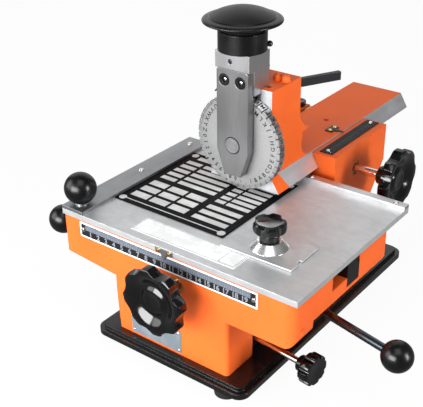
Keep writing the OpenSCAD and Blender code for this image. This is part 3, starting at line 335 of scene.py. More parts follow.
class NodePen:
    """Draws shader nodes in a material or a group."""

    def __init__(self, tree: Tree) -> None:
        """Starts on an empty tree."""
        self.tree = tree
        tree.nodes.clear()

    def add(self, kind: str, inputs: dict[str, object] | None = None, **settings: object) -> Node:
        """Adds a node.

        Args:
            kind: the node's type name.
            inputs: values or sockets to link from, by the input's name or number.
            settings: the node's own properties.

        Returns:
            The node.
        """
        node = self.tree.nodes.new(kind)
        for key, value in settings.items():
            setattr(node, key, value)
        self.feed(node, inputs or {})
        return node

    def feed(self, node: Node, inputs: dict[str, object]) -> None:
        """Sets a node's sockets.

        Args:
            node: the node.
            inputs: values or sockets to link from, by the input's name or number.
        """
        for key, value in inputs.items():
            socket = node.inputs[int(key)] if key.isdigit() else node.inputs[key]
            if isinstance(value, Socket):
                self.tree.links.new(value, socket)
            else:
                socket.default_value = value

    def math(self, operation: str, *values: object) -> Socket:
        """Adds a Math node and returns its output."""
        inputs = {str(k): v for k, v in enumerate(values)}
        return self.add("ShaderNodeMath", inputs, operation=operation).outputs[0]

    def times(self, first: object, second: object) -> Socket:
        """Returns the product of two values."""
        return self.math("MULTIPLY", first, second)

    def plus(self, first: object, second: object) -> Socket:
        """Returns the sum of two values."""
        return self.math("ADD", first, second)

    def most(self, first: object, second: object) -> Socket:
        """Returns the larger of two values."""
        return self.math("MAXIMUM", first, second)

    def below(self, value: object, limit: object) -> Socket:
        """Returns 1 where a value is below a limit, else 0."""
        return self.math("LESS_THAN", value, limit)

    def above(self, value: object, limit: object) -> Socket:
        """Returns 1 where a value is above a limit, else 0."""
        return self.math("GREATER_THAN", value, limit)

    def blend(self, factor: object, first: object, second: object) -> Socket:
        """Mixes two colours by a factor and returns the colour."""
        inputs = {"0": factor, "6": self.opaque(first), "7": self.opaque(second)}
        return self.add("ShaderNodeMix", inputs, data_type="RGBA").outputs[2]

    @staticmethod
    def opaque(value: object) -> object:
        """Returns a colour with its alpha; a socket stays as it is."""
        return (*value, 1.0) if isinstance(value, tuple) else value

    def noise(self, vector: object, scale: object, detail: float, roughness: float = 0.5) -> Socket:
        """Adds a noise and returns its value."""
        inputs = {"Vector": vector, "Scale": scale, "Detail": detail, "Roughness": roughness}
        return self.add("ShaderNodeTexNoise", inputs).outputs["Fac"]

    def facing(self) -> Node:
        """Adds the surface's direction in the object's own axes, split into X, Y and Z."""
        normal = self.add("ShaderNodeTexCoord").outputs["Normal"]
        return self.add("ShaderNodeSeparateXYZ", {"0": normal})

    def span(self, value: Socket, low: float, high: float, to_low: float = 0.0,
             to_high: float = 1.0) -> Socket:
        """Maps a value from one range to another, clamped.

        Args:
            value: the value.
            low: start of its range.
            high: end of its range.
            to_low: what the start becomes.
            to_high: what the end becomes.

        Returns:
            The mapped value.
        """
        node = self.add("ShaderNodeMapRange", {
            "Value": value, "From Min": low, "From Max": high, "To Min": to_low, "To Max": to_high})
        return node.outputs["Result"]


class Effects:
    """Shader groups that several finishes share, each built once."""

    @staticmethod
    def group(name: str, inputs: dict[str, tuple[str, object]], outputs: dict[str, str]) -> tuple:
        """Starts a group with named sockets.

        Args:
            name: the group's name.
            inputs: socket type and default by socket name.
            outputs: socket type by socket name.

        Returns:
            The group, a pen on it, its input node and its output node.
        """
        tree = bpy.data.node_groups.new(name, "ShaderNodeTree")
        for key, (kind, default) in inputs.items():
            socket = tree.interface.new_socket(key, in_out="INPUT", socket_type=kind)
            if default is not None:
                socket.default_value = default
        for key, kind in outputs.items():
            tree.interface.new_socket(key, in_out="OUTPUT", socket_type=kind)
        pen = NodePen(tree)
        return tree, pen, pen.add("NodeGroupInput"), pen.add("NodeGroupOutput")

    @staticmethod
    def uneven_tone() -> Tree:
        """Draws cloudy handling marks: a broad tone and a fine speckle.

        Returns:
            The group.
        """
        known = bpy.data.node_groups.get("uneven_tone")
        if known:
            return known
        tree, pen, start, end = Effects.group(
            "uneven_tone",
            {"Vector": (VECTOR, None), "Size": (FLOAT, 40.0)},
            {"Tone": FLOAT, "Speckle": FLOAT})
        where = start.outputs["Vector"]
        size = start.outputs["Size"]
        broad = pen.noise(where, size, 4.0, 0.6)
        fine = pen.noise(where, pen.times(size, 14.0), 2.0)
        pen.feed(end, {"Tone": pen.span(broad, 0.3, 0.7), "Speckle": fine})
        return tree

    @staticmethod
    def rubbed_edge() -> Tree:
        """Draws edges: a softened normal and a mask where hands and tools rub.

        Returns:
            The group.
        """
        known = bpy.data.node_groups.get("rubbed_edge")
        if known:
            return known
        tree, pen, start, end = Effects.group(
            "rubbed_edge",
            {"Vector": (VECTOR, None), "Radius": (FLOAT, 0.0008)},
            {"Mask": FLOAT, "Normal": VECTOR})
        soft = pen.add("ShaderNodeBevel", {"Radius": start.outputs["Radius"]}, samples=4)
        flat = pen.add("ShaderNodeNewGeometry")
        both = {"0": soft.outputs[0], "1": flat.outputs["Normal"]}
        likeness = pen.add("ShaderNodeVectorMath", both, operation="DOT_PRODUCT").outputs["Value"]
        edge = pen.span(likeness, 0.99, 0.8)
        broken = pen.span(pen.noise(start.outputs["Vector"], 220.0, 3.0), 0.42, 0.62)
        pen.feed(end, {"Mask": pen.times(edge, broken), "Normal": soft.outputs[0]})
        return tree

    @staticmethod
    def brush_lines() -> Tree:
        """Draws machining or brushing lines along one direction.

        Returns:
            The group.
        """
        known = bpy.data.node_groups.get("brush_lines")
        if known:
            return known
        tree, pen, start, end = Effects.group(
            "brush_lines",
            {"Vector": (VECTOR, None),
             "Stretch": (VECTOR, (40.0, 1500.0, 1500.0))},
            {"Lines": FLOAT, "Clouds": FLOAT})
        stretch = {"0": start.outputs["Vector"], "1": start.outputs["Stretch"]}
        along = pen.add("ShaderNodeVectorMath", stretch, operation="MULTIPLY").outputs[0]
        widen = {"0": along, "Scale": 0.05}
        wide = pen.add("ShaderNodeVectorMath", widen, operation="SCALE").outputs[0]
        clouds = pen.span(pen.noise(wide, 1.0, 4.0), 0.3, 0.7)
        pen.feed(end, {"Lines": pen.noise(along, 1.0, 3.0), "Clouds": clouds})
        return tree


@dataclass(frozen=True)
class Finish:
    """A finish of the machine, made into one material the first time it is asked for.

    Attributes:
        name: the material's name.
        colour: its main colour, linear.
        roughness: its middle roughness.
        edge: the radius of the softened edges.
    """

    name: str
    colour: Colour
    roughness: float = 0.4
    edge: float = 0.0008

    def material(self) -> bpy.types.Material:
        """Builds the material the first time it is asked for.

        Returns:
            The material.
        """
        title = self.name + "_finish"
        known = bpy.data.materials.get(title)
        if known:
            return known
        material = bpy.data.materials.new(title)
        material.use_nodes = True
        pen = NodePen(material.node_tree)
        where = pen.add("ShaderNodeTexCoord").outputs["Object"]
        shader = pen.add("ShaderNodeBsdfPrincipled", {
            "Base Color": (*self.colour, 1.0), "Roughness": self.roughness})
        pen.add("ShaderNodeOutputMaterial", {"Surface": shader.outputs[0]})
        self.draw(pen, where, shader)
        return material

    def draw(self, pen: NodePen, where: Socket, shader: Node) -> None:
        """Adds the finish's own nodes; each kind of finish has its own."""

    def effect(self, pen: NodePen, tree: Tree, where: Socket, **values: object) -> Node:
        """Places a shared effect's group on the surface, with its own input values."""
        return pen.add("ShaderNodeGroup", {"Vector": where, **values}, node_tree=tree)

    def bump(self, pen: NodePen, shader: Node, height: Socket, strength: float, depth: float,
             normal: Socket) -> None:
        """Feeds a height to the shader's normal over the softened edges.

        Args:
            pen: the material's pen.
            shader: the material's shader.
            height: the relief.
            strength: how strongly it shows.
            depth: its depth in metres.
            normal: the softened direction under it.
        """
        bump = pen.add("ShaderNodeBump", {
            "Strength": strength, "Distance": depth, "Height": height, "Normal": normal})
        pen.feed(shader, {"Normal": bump.outputs[0]})


@dataclass(frozen=True)
class Enamel(Finish):
    """Sprayed enamel on a casting: a faint orange-peel, uneven gloss and paler rubbed edges.

    Attributes:
        coat: weight of the clear gloss on top.
        peel: depth of the paint's ripple.
        rub: how far the edges go to the rubbed colour.
        shine: the shader's specular level.
        bare: the faces that are left as bare metal, if the piece has some.
        cloud: how finely the cloudy tone repeats.
    """

    coat: float = 0.25
    peel: float = 0.00005
    rub: float = 0.35
    shine: float = 0.40
    bare: Bare = Bare.NONE
    cloud: float = 18.0

    def draw(self, pen: NodePen, where: Socket, shader: Node) -> None:
        """Paints the tone, the edges, the ripple and the bare faces.

        Args:
            pen: the material's pen.
            where: the surface's coordinates.
            shader: the material's shader.
        """
        tone = self.effect(pen, Effects.uneven_tone(), where, Size=self.cloud)
        edge = self.effect(pen, Effects.rubbed_edge(), where, Radius=self.edge)
        deep = tuple(c * 0.86 for c in self.colour)
        light = tuple(min(1.0, c * 1.25 + 0.03) for c in self.colour)
        body = pen.blend(tone.outputs["Tone"], deep, self.colour)
        rubbed = pen.blend(pen.times(edge.outputs["Mask"], self.rub), body, light)
        rough = pen.span(tone.outputs["Tone"], 0.0, 1.0, self.roughness - 0.05, self.roughness + 0.06)
        pen.feed(shader, {
            "Specular IOR Level": self.shine, "Coat Weight": self.coat, "Coat Roughness": 0.22})
        if self.bare is not Bare.NONE:
            brass = self.bare is Bare.LOW_SCREWS
            metal = self.low_screws(pen, where) if brass else self.arm_faces(pen, where)
            lines = self.effect(pen, Effects.brush_lines(), where, Stretch=(900.0, 60.0, 900.0))
            dull = (0.50, 0.34, 0.14) if brass else (0.52, 0.53, 0.55)
            bright = (0.72, 0.50, 0.22) if brass else (0.80, 0.81, 0.83)
            shade = pen.blend(lines.outputs["Clouds"], dull, bright)
            if not brass:
                # Painted shade: the bare faces that look left are darkened, which dims the left panel
                # lamp's reflection in them.
                shade = pen.blend(self.gib_side(pen), shade, (0.17, 0.17, 0.175))
            rubbed = pen.blend(metal, rubbed, shade)
            pen.feed(shader, {"Metallic": metal})
            rough = pen.plus(rough, pen.times(metal, 0.02))
        pen.feed(shader, {"Base Color": rubbed, "Roughness": rough})
        self.bump(pen, shader, tone.outputs["Speckle"], 0.35, self.peel, edge.outputs["Normal"])

    def arm_faces(self, pen: NodePen, where: Socket) -> Socket:
        """Finds the arm's machined faces: the head's front, the dovetail's flanks and its foot.

        Args:
            pen: the material's pen.
            where: the surface's coordinates.

        Returns:
            The mask.
        """
        front_depth = 11 * MM
        paint_depth = 21 * MM
        paint_slope = 0.5
        arm_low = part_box("arm_casting")[0]
        dovetail_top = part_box("arm_pointer")[0][2] - 0.2 * MM
        place = pen.add("ShaderNodeSeparateXYZ", {"0": where})
        turn = pen.facing()
        front = pen.below(turn.outputs["Y"], -0.9)
        near = pen.below(place.outputs["Y"], arm_low[1] + front_depth)
        low = pen.below(place.outputs["Z"], dovetail_top)
        side = pen.above(pen.math("ABSOLUTE", turn.outputs["X"]), 0.4)
        slant = pen.above(turn.outputs["Z"], 0.2)
        flank = pen.times(pen.times(side, slant), low)
        edge = pen.plus(place.outputs["Y"], pen.times(place.outputs["Z"], paint_slope))
        painted_end = arm_low[1] + paint_depth + paint_slope * arm_low[2]
        flank = pen.times(flank, pen.above(edge, painted_end))
        foot = pen.below(turn.outputs["Z"], -0.9)
        face = pen.times(front, near)
        return pen.most(pen.most(face, flank), foot)

    def gib_side(self, pen: NodePen) -> Socket:
        """Returns the mask of the faces that look left; their bare metal is darkened there as painted
        shade, which dims the left panel lamp's reflection in the flank.
        """
        return pen.below(pen.facing().outputs["X"], -0.4)

    def low_screws(self, pen: NodePen, where: Socket) -> Socket:
        """Finds the screws below the head's top, which stay bare brass.

        Args:
            pen: the material's pen.
            where: the surface's coordinates.

        Returns:
            The mask.
        """
        low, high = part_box("arm_screws")
        place = pen.add("ShaderNodeSeparateXYZ", {"0": where})
        return pen.below(place.outputs["Z"], (low[2] + high[2]) / 2)


@dataclass(frozen=True)
class Machined(Finish):
    """Bare metal with machining or brushing lines.

    Attributes:
        stretch: how finely the lines repeat along X, Y and Z.
        dull: how much darker the clouds get.
        lines: depth of the lines.
        cloud: how finely the cloudy tone repeats.
    """

    stretch: Point = (40.0, 1500.0, 1500.0)
    dull: float = 0.25
    lines: float = 0.00003
    cloud: float = 25.0

    def draw(self, pen: NodePen, where: Socket, shader: Node) -> None:
        """Draws the lines, the clouds and the brighter edges.

        Args:
            pen: the material's pen.
            where: the surface's coordinates.
            shader: the material's shader.
        """
        grain = self.effect(pen, Effects.brush_lines(), where, Stretch=self.stretch)
        tone = self.effect(pen, Effects.uneven_tone(), where, Size=self.cloud)
        edge = self.effect(pen, Effects.rubbed_edge(), where, Radius=self.edge)
        dark = tuple(c * (1.0 - self.dull) for c in self.colour)
        bright = tuple(min(1.0, c * 1.18) for c in self.colour)
        cloud = pen.times(pen.plus(grain.outputs["Clouds"], tone.outputs["Tone"]), 0.5)
        body = pen.blend(cloud, dark, self.colour)
        lined = pen.blend(pen.span(grain.outputs["Lines"], 0.35, 0.75, 0.0, 0.35), body, bright)
        edged = pen.blend(pen.times(edge.outputs["Mask"], 0.5), lined, bright)
        rough = pen.span(cloud, 0.0, 1.0, self.roughness + 0.08, self.roughness - 0.06)
        pen.feed(shader, {"Metallic": 1.0, "Base Color": edged, "Roughness": rough})
        self.bump(pen, shader, grain.outputs["Lines"], 0.25, self.lines, edge.outputs["Normal"])


@dataclass(frozen=True)
class Moulded(Finish):
    """Moulded black plastic or rubber: handling haze in the gloss and a little dust.

    Attributes:
        haze: how far the roughness varies.
        grain: depth of the surface texture.
        shine: the shader's specular level.
        cloud: how finely the haze repeats.
    """

    haze: float = 0.08
    grain: float = 0.00001
    shine: float = 0.35
    cloud: float = 55.0

    def draw(self, pen: NodePen, where: Socket, shader: Node) -> None:
        """Draws the haze, the dust and the texture.

        Args:
            pen: the material's pen.
            where: the surface's coordinates.
            shader: the material's shader.
        """
        tone = self.effect(pen, Effects.uneven_tone(), where, Size=self.cloud)
        edge = self.effect(pen, Effects.rubbed_edge(), where, Radius=self.edge)
        grey = tuple(c * 1.5 + 0.0008 for c in self.colour)
        body = pen.blend(pen.span(tone.outputs["Tone"], 0.35, 1.0, 0.0, 0.6), self.colour, grey)
        rough = pen.span(tone.outputs["Tone"], 0.0, 1.0, self.roughness, self.roughness + self.haze)
        pen.feed(shader, {"Specular IOR Level": self.shine, "Base Color": body, "Roughness": rough})
        self.bump(pen, shader, tone.outputs["Speckle"], 0.3, self.grain, edge.outputs["Normal"])


@dataclass(frozen=True)
class RuledStrip(Finish):
    """A printed rule: a pale border, a grey half with fine graduations and a dark half for figures.

    Attributes:
        low: the strip's lowest corner in its length and width directions.
        high: its highest corner there.
        length_axis: the axis the rule runs along.
        width_axis: the axis across it.
        pitch: distance between the fine lines.
        dark_share: the share of the width that is dark.
        border: width of the pale border.
        band: colour of the lighter half.
        mark: colour of the graduations.
        dark: colour of the dark half.
        pale: colour of the border.
        worn: colour of the worn specks.
        line: width of a fine line as a share of its pitch.
        long_line: width of a long line as a share of its pitch.
        group: how many fine lines go to one long line.
        short_reach: length of a fine line as a share of the strip's width.
        long_reach: length of a long line as a share of the strip's width.
        end_gap: length of the dark field at each end.
        shine: the shader's specular level.
        cloud: how finely the wear repeats.
    """

    low: tuple[float, float] = (0.0, 0.0)
    high: tuple[float, float] = (0.1, 0.02)
    length_axis: str = "X"
    width_axis: str = "Z"
    pitch: float = 0.0025
    dark_share: float = 0.45
    border: float = 0.0009
    band: Colour = (0.17, 0.18, 0.20)
    mark: Colour = (0.70, 0.70, 0.69)
    dark: Colour = (0.012, 0.012, 0.013)
    pale: Colour = (0.80, 0.80, 0.79)
    worn: Colour = (0.20, 0.20, 0.20)
    line: float = 0.16
    long_line: float = 0.04
    group: int = 5
    short_reach: float = 0.22
    long_reach: float = 0.36
    end_gap: float = 0.0075
    shine: float = 0.08
    cloud: float = 60.0

    def draw(self, pen: NodePen, where: Socket, shader: Node) -> None:
        """Prints the border, the two bands and the graduations.

        Args:
            pen: the material's pen.
            where: the surface's coordinates.
            shader: the material's shader.
        """
        place = pen.add("ShaderNodeSeparateXYZ", {"0": where})
        along = place.outputs[self.length_axis]
        across = place.outputs[self.width_axis]
        tone = self.effect(pen, Effects.uneven_tone(), where, Size=self.cloud)
        width = self.high[1] - self.low[1]
        split = self.low[1] + width * self.dark_share
        upper = pen.above(across, split)
        tick = self.ticks(pen, along, self.pitch, self.line)
        long_tick = self.ticks(pen, along, self.pitch * self.group, self.long_line)
        reach = pen.below(across, split + width * self.short_reach)
        far = pen.below(across, split + width * self.long_reach)
        marks = pen.most(pen.times(tick, reach), pen.times(long_tick, far))
        marks = pen.times(marks, upper)
        ground = pen.blend(upper, self.dark, self.band)
        ends = pen.most(pen.below(along, self.low[0] + self.end_gap),
                        pen.above(along, self.high[0] - self.end_gap))
        ground = pen.blend(ends, ground, self.dark)
        marks = pen.times(marks, pen.math("SUBTRACT", 1.0, ends))
        ruled = pen.blend(marks, ground, self.mark)
        bordered = pen.blend(self.edge_mask(pen, along, across), ruled, self.pale)
        specks = pen.span(tone.outputs["Speckle"], 0.55, 0.8, 0.0, 0.12)
        rough = pen.span(tone.outputs["Tone"], 0.0, 1.0, self.roughness, self.roughness + 0.1)
        worn = pen.blend(specks, bordered, self.worn)
        pen.feed(shader, {"Specular IOR Level": self.shine, "Base Color": worn, "Roughness": rough})

    def ticks(self, pen: NodePen, along: Socket, pitch: float, share: float) -> Socket:
        """Returns the mask of lines that repeat along the rule, each a share of the pitch wide."""
        count = pen.math("DIVIDE", pen.math("SUBTRACT", along, self.low[0]), pitch)
        return pen.below(pen.math("FRACT", count), share)

    def edge_mask(self, pen: NodePen, along: Socket, across: Socket) -> Socket:
        """Finds the border round the strip.

        Args:
            pen: the material's pen.
            along: the place along the rule.
            across: the place across it.

        Returns:
            The mask.
        """
        sides = (
            pen.below(along, self.low[0] + self.border),
            pen.above(along, self.high[0] - self.border),
            pen.below(across, self.low[1] + self.border),
            pen.above(across, self.high[1] - self.border))
        mask = sides[0]
        for side in sides[1:]:
            mask = pen.most(mask, side)
        return mask


PAINT: Colour = (0.81, 0.128, 0.021)
UPRIGHT_LINES: Point = (1100.0, 1100.0, 40.0)


def even(scale: float) -> Point:
    """Returns the same scale along all three axes."""
    return (scale, scale, scale)


ORANGE = Enamel("orange_enamel", PAINT, 0.46, 0.0016, coat=0.0, shine=0.13)
ARM_ORANGE = Enamel("arm_enamel", PAINT, 0.46, 0.0010, coat=0.0, shine=0.13, bare=Bare.ARM_FACES)
BOLT_ORANGE = Enamel("bolt_enamel", PAINT, 0.40, 0.0006, coat=0.0, shine=0.2, bare=Bare.LOW_SCREWS)
BASE_BLACK = Enamel("base_enamel", (0.003, 0.003, 0.0035), 0.24, 0.0018, coat=0.2, rub=0.10)
TABLE_METAL = Machined("table_metal", (0.72, 0.73, 0.74), 0.54, 0.0006, (90.0, 160.0, 160.0), 0.22)
FENCE_METAL = Machined("fence_metal", (0.36, 0.37, 0.38), 0.40, 0.0006, (500.0, 40.0, 500.0), 0.3)
RAIL_METAL = Machined("rail_metal", (0.66, 0.67, 0.68), 0.36, 0.0006, (40.0, 500.0, 500.0), 0.3)
HEAD_METAL = Machined("head_metal", (0.48, 0.48, 0.49), 0.38, 0.0009, UPRIGHT_LINES)
BRACKET_METAL = Machined("bracket_metal", (0.32, 0.32, 0.325), 0.36, 0.0009, UPRIGHT_LINES)
AXLE_METAL = Machined("axle_metal", (0.36, 0.36, 0.36), 0.40, 0.0004, even(700.0))
WHEEL_METAL = Machined("wheel_metal", (0.53, 0.53, 0.53), 0.40, 0.0006, even(400.0), 0.15)
TYPE_METAL = Machined("type_metal", (0.60, 0.60, 0.61), 0.34, 0.0004, even(600.0), 0.4)
SHAFT_METAL = Machined("shaft_metal", (0.58, 0.59, 0.60), 0.24, 0.0005, even(500.0))
CHROME = Machined("chrome", (0.82, 0.82, 0.84), 0.12, 0.0004, even(200.0), 0.1)
WASHER_METAL = Machined("washer_metal", (0.88, 0.88, 0.89), 0.24, 0.0004, (300.0, 300.0, 900.0), 0.12)
BRASS = Machined("brass", (0.70, 0.48, 0.20), 0.28, 0.0003, even(600.0))
BLUED = Machined("blued_metal", (0.045, 0.045, 0.05), 0.38, 0.0005, (500.0, 80.0, 500.0))
DARK_SCREW = Machined("dark_screw", (0.06, 0.06, 0.062), 0.30, 0.0005, even(500.0))
ROD_METAL = Machined("rod_metal", (0.10, 0.115, 0.135), 0.20, 0.0005, even(500.0))
BAKELITE = Moulded("bakelite", (0.0015, 0.0015, 0.0018), 0.08, 0.0010, shine=0.5)
BALL_BLACK = Moulded("ball_black", (0.0018, 0.0018, 0.0022), 0.22, 0.0010, haze=0.1)
COLLAR_BLACK = Moulded("collar_black", (0.002, 0.002, 0.0022), 0.24, 0.0010, haze=0.1)
SATIN = Moulded("satin_cap", (0.006, 0.006, 0.0062), 0.34, 0.0010, haze=0.1, grain=0.00003)
RUBBER = Moulded("rubber", (0.007, 0.007, 0.0075), 0.75, 0.0008, haze=0.1, grain=0.00008)
INK = Moulded("printing_ink", (0.008, 0.008, 0.009), 0.55, 0.0001)
PALE_INK = Moulded("pale_ink", (0.17, 0.185, 0.21), 0.55, 0.0001, shine=0.1)
PLATE_BLACK = Moulded("plate_black", (0.004, 0.004, 0.0045), 0.42, 0.0001, haze=0.12, shine=0.04)
PLATE_PALE = Moulded("plate_pale", (0.50, 0.50, 0.495), 0.45, 0.0001)
LABEL_GREY = Moulded("label_grey", (0.13, 0.16, 0.18), 0.42, 0.0002)
LABEL_PALE = Moulded("label_pale", (0.72, 0.73, 0.73), 0.40, 0.0002)

NODES_BY_FINISH: tuple[tuple[Finish, str], ...] = (
    (BASE_BLACK, "base_plate"),
    (RUBBER, "rubber_feet"),
    (ORANGE, "bed_casting column_casting"),
    (ARM_ORANGE, "arm_casting"),
    (BOLT_ORANGE, "arm_screws"),
    (BLUED, "frame_bolts gib_screws spacing_bracket slide_bar arm_pointer detent_leaf lock_lever"),
    (SHAFT_METAL, "table_keeper feed_pivot table_rack grip_stud clamp_stud front_shaft front_pinion"),
    (SHAFT_METAL, "side_pinion arm_rack return_spring release_rod"),
    (CHROME, "scale_screws table_screws side_shaft spacing_rod"),
    (BRASS, "arm_gib front_bushes side_bushes pointer_screws"),
    (TABLE_METAL, "table_plate clamp_plate"),
    (FENCE_METAL, "left_fence table_pointer"),
    (RAIL_METAL, "back_fence"),
    (WASHER_METAL, "clamp_washer"),
    (PLATE_BLACK, "nameplate"),
    (HEAD_METAL, "plunger_slide plunger_block"),
    (BRACKET_METAL, "bracket_plate"),
    (DARK_SCREW, "plunger_screws"),
    (AXLE_METAL, "wheel_axle"),
    (WHEEL_METAL, "type_wheel"),
    (TYPE_METAL, "type_blocks"),
    (ROD_METAL, "feed_lever"),
    (COLLAR_BLACK, "collar"),
    (SATIN, "mushroom_cap"),
    (BAKELITE, "grip_ball clamp_knob front_knob side_knob feed_ball spacing_knob release_ball"),
    (BAKELITE, "arm_clamp"))
NODE_FINISHES = {node: finish for finish, nodes in NODES_BY_FINISH for node in nodes.split()}


def in_metres(rings: Sequence[Ring]) -> list[Ring]:
    """Returns rings that are given in millimetres as metres."""
    return [(radius * MM, height * MM) for radius, height in rings]


def middle(node: str) -> Vector:
    """Returns the middle of a CAD node's box."""
    low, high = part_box(node)
    return (Vector(low) + Vector(high)) / 2


class Dresser:
    """Gives pieces and nodes their finishes and ties new pieces to the CAD bodies."""

    def __init__(self, frame: dict) -> None:
        """Keeps the loaded frame."""
        self.frame = frame

    def nodes(self) -> None:
        """Dresses every CAD node."""
        for name, node in self.frame["nodes"].items():
            self.coat(node, NODE_FINISHES.get(name, ORANGE))

    def coat(self, piece: Piece, finish: Finish) -> None:
        """Puts one finish on a whole piece."""
        piece.data.materials.clear()
        piece.data.materials.append(finish.material())

    def fit(self, piece: Piece, finish: Finish, body: str, slot: str, *stands_for: str) -> None:
        """Dresses a new piece and ties it to its body.

        Args:
            piece: the finished mesh.
            finish: what it is made of.
            body: the CAD body it moves with.
            slot: the record's material slot; not used.
            stands_for: CAD nodes that it replaces.
        """
        self.coat(piece, finish)
        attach(piece, body)
        if stands_for:
            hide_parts(*stands_for)
        log.info("piece %s on %s", piece.name, body)


@dataclass
class LobedGrip:
    """A hand knob with lobes, turned and then scalloped.

    Attributes:
        name: the piece's name.
        node: the CAD node it stands for.
        body: the body it turns with.
        lobes: number of lobes.
        radius: outer radius.
        depth: depth of a scallop.
        rings: the turned profile, from the hub's end to the face on z = 0.
        rim: thickness of the rim that the scallops cut.
        edge: rounding of the scallops.
        land: half the angle that a lobe's top takes, in degrees.
    """

    name: str
    node: str
    body: str
    lobes: int
    radius: float
    depth: float
    rings: list[Ring]
    rim: float
    edge: float = 0.0012
    land: float = 6.0

    def build(self, placing: Matrix) -> Piece:
        """Makes the knob and puts it in place.

        Args:
            placing: where its face's middle is and which way it looks.

        Returns:
            The finished mesh.
        """
        grip = Workshop.turned(self.name, self.rings, self.lobes * 14)
        half = math.radians(180 / self.lobes - self.land)
        chord = self.radius * math.sin(half)
        sag = self.radius * math.cos(half) - (self.radius - self.depth)
        hollow = (chord * chord + sag * sag) / (2 * sag)
        cutters = []
        for k in range(self.lobes):
            angle = 2 * math.pi * (k + 0.5) / self.lobes
            reach = self.radius - self.depth + hollow
            Workshop.clear()
            bpy.ops.mesh.primitive_cylinder_add(
                vertices=96, radius=hollow, depth=self.rim * 3,
                location=(reach * math.cos(angle), reach * math.sin(angle), -self.rim / 2))
            cutters.append(bpy.context.object)
        for cutter in cutters:
            Workshop.settle(cutter)
            Workshop.finish_modifier(
                grip, "BOOLEAN", operation="DIFFERENCE", object=cutter, solver="EXACT")
            bpy.data.objects.remove(cutter)
        Workshop.rounded(grip, self.edge, 3, 30.0)
        Workshop.smooth(grip, 50.0)
        Workshop.place(grip, placing)
        return grip


@dataclass
class BallGrip:
    """A turned ball with a short flat where its rod goes in.

    Attributes:
        name: the piece's name.
        node: the CAD node it stands for.
        body: the body it moves with.
        diameter: the ball's diameter.
        hole: radius of the rod's hole.
        flat: how far from the middle the flat lies, as a share of the radius.
        steps: rings from the flat to the far end.
    """

    name: str
    node: str
    body: str
    diameter: float
    hole: float = 4 * MM
    flat: float = 0.94
    steps: int = 30

    def build(self, centre: Vector, outward: Vector) -> Piece:
        """Makes the ball.

        Args:
            centre: the ball's middle.
            outward: the way from the rod's end out through the ball.

        Returns:
            The finished mesh.
        """
        r = self.diameter / 2
        flat = -self.flat * r
        start = math.asin(flat / r)
        rings: list[Ring] = [(self.hole, flat + r * 0.02), (self.hole, flat)]
        for k in range(self.steps):
            angle = start + (math.pi / 2 - start) * k / self.steps
            rings.append((r * math.cos(angle), r * math.sin(angle)))
        rings.append((r * 0.012, r * 0.99995))
        ball = Workshop.turned(self.name, rings, 64)
        Workshop.smooth(ball)
        turn = Vector((0, 0, 1)).rotation_difference(outward).to_matrix().to_4x4()
        Workshop.place(ball, Matrix.Translation(centre) @ turn)
        return ball


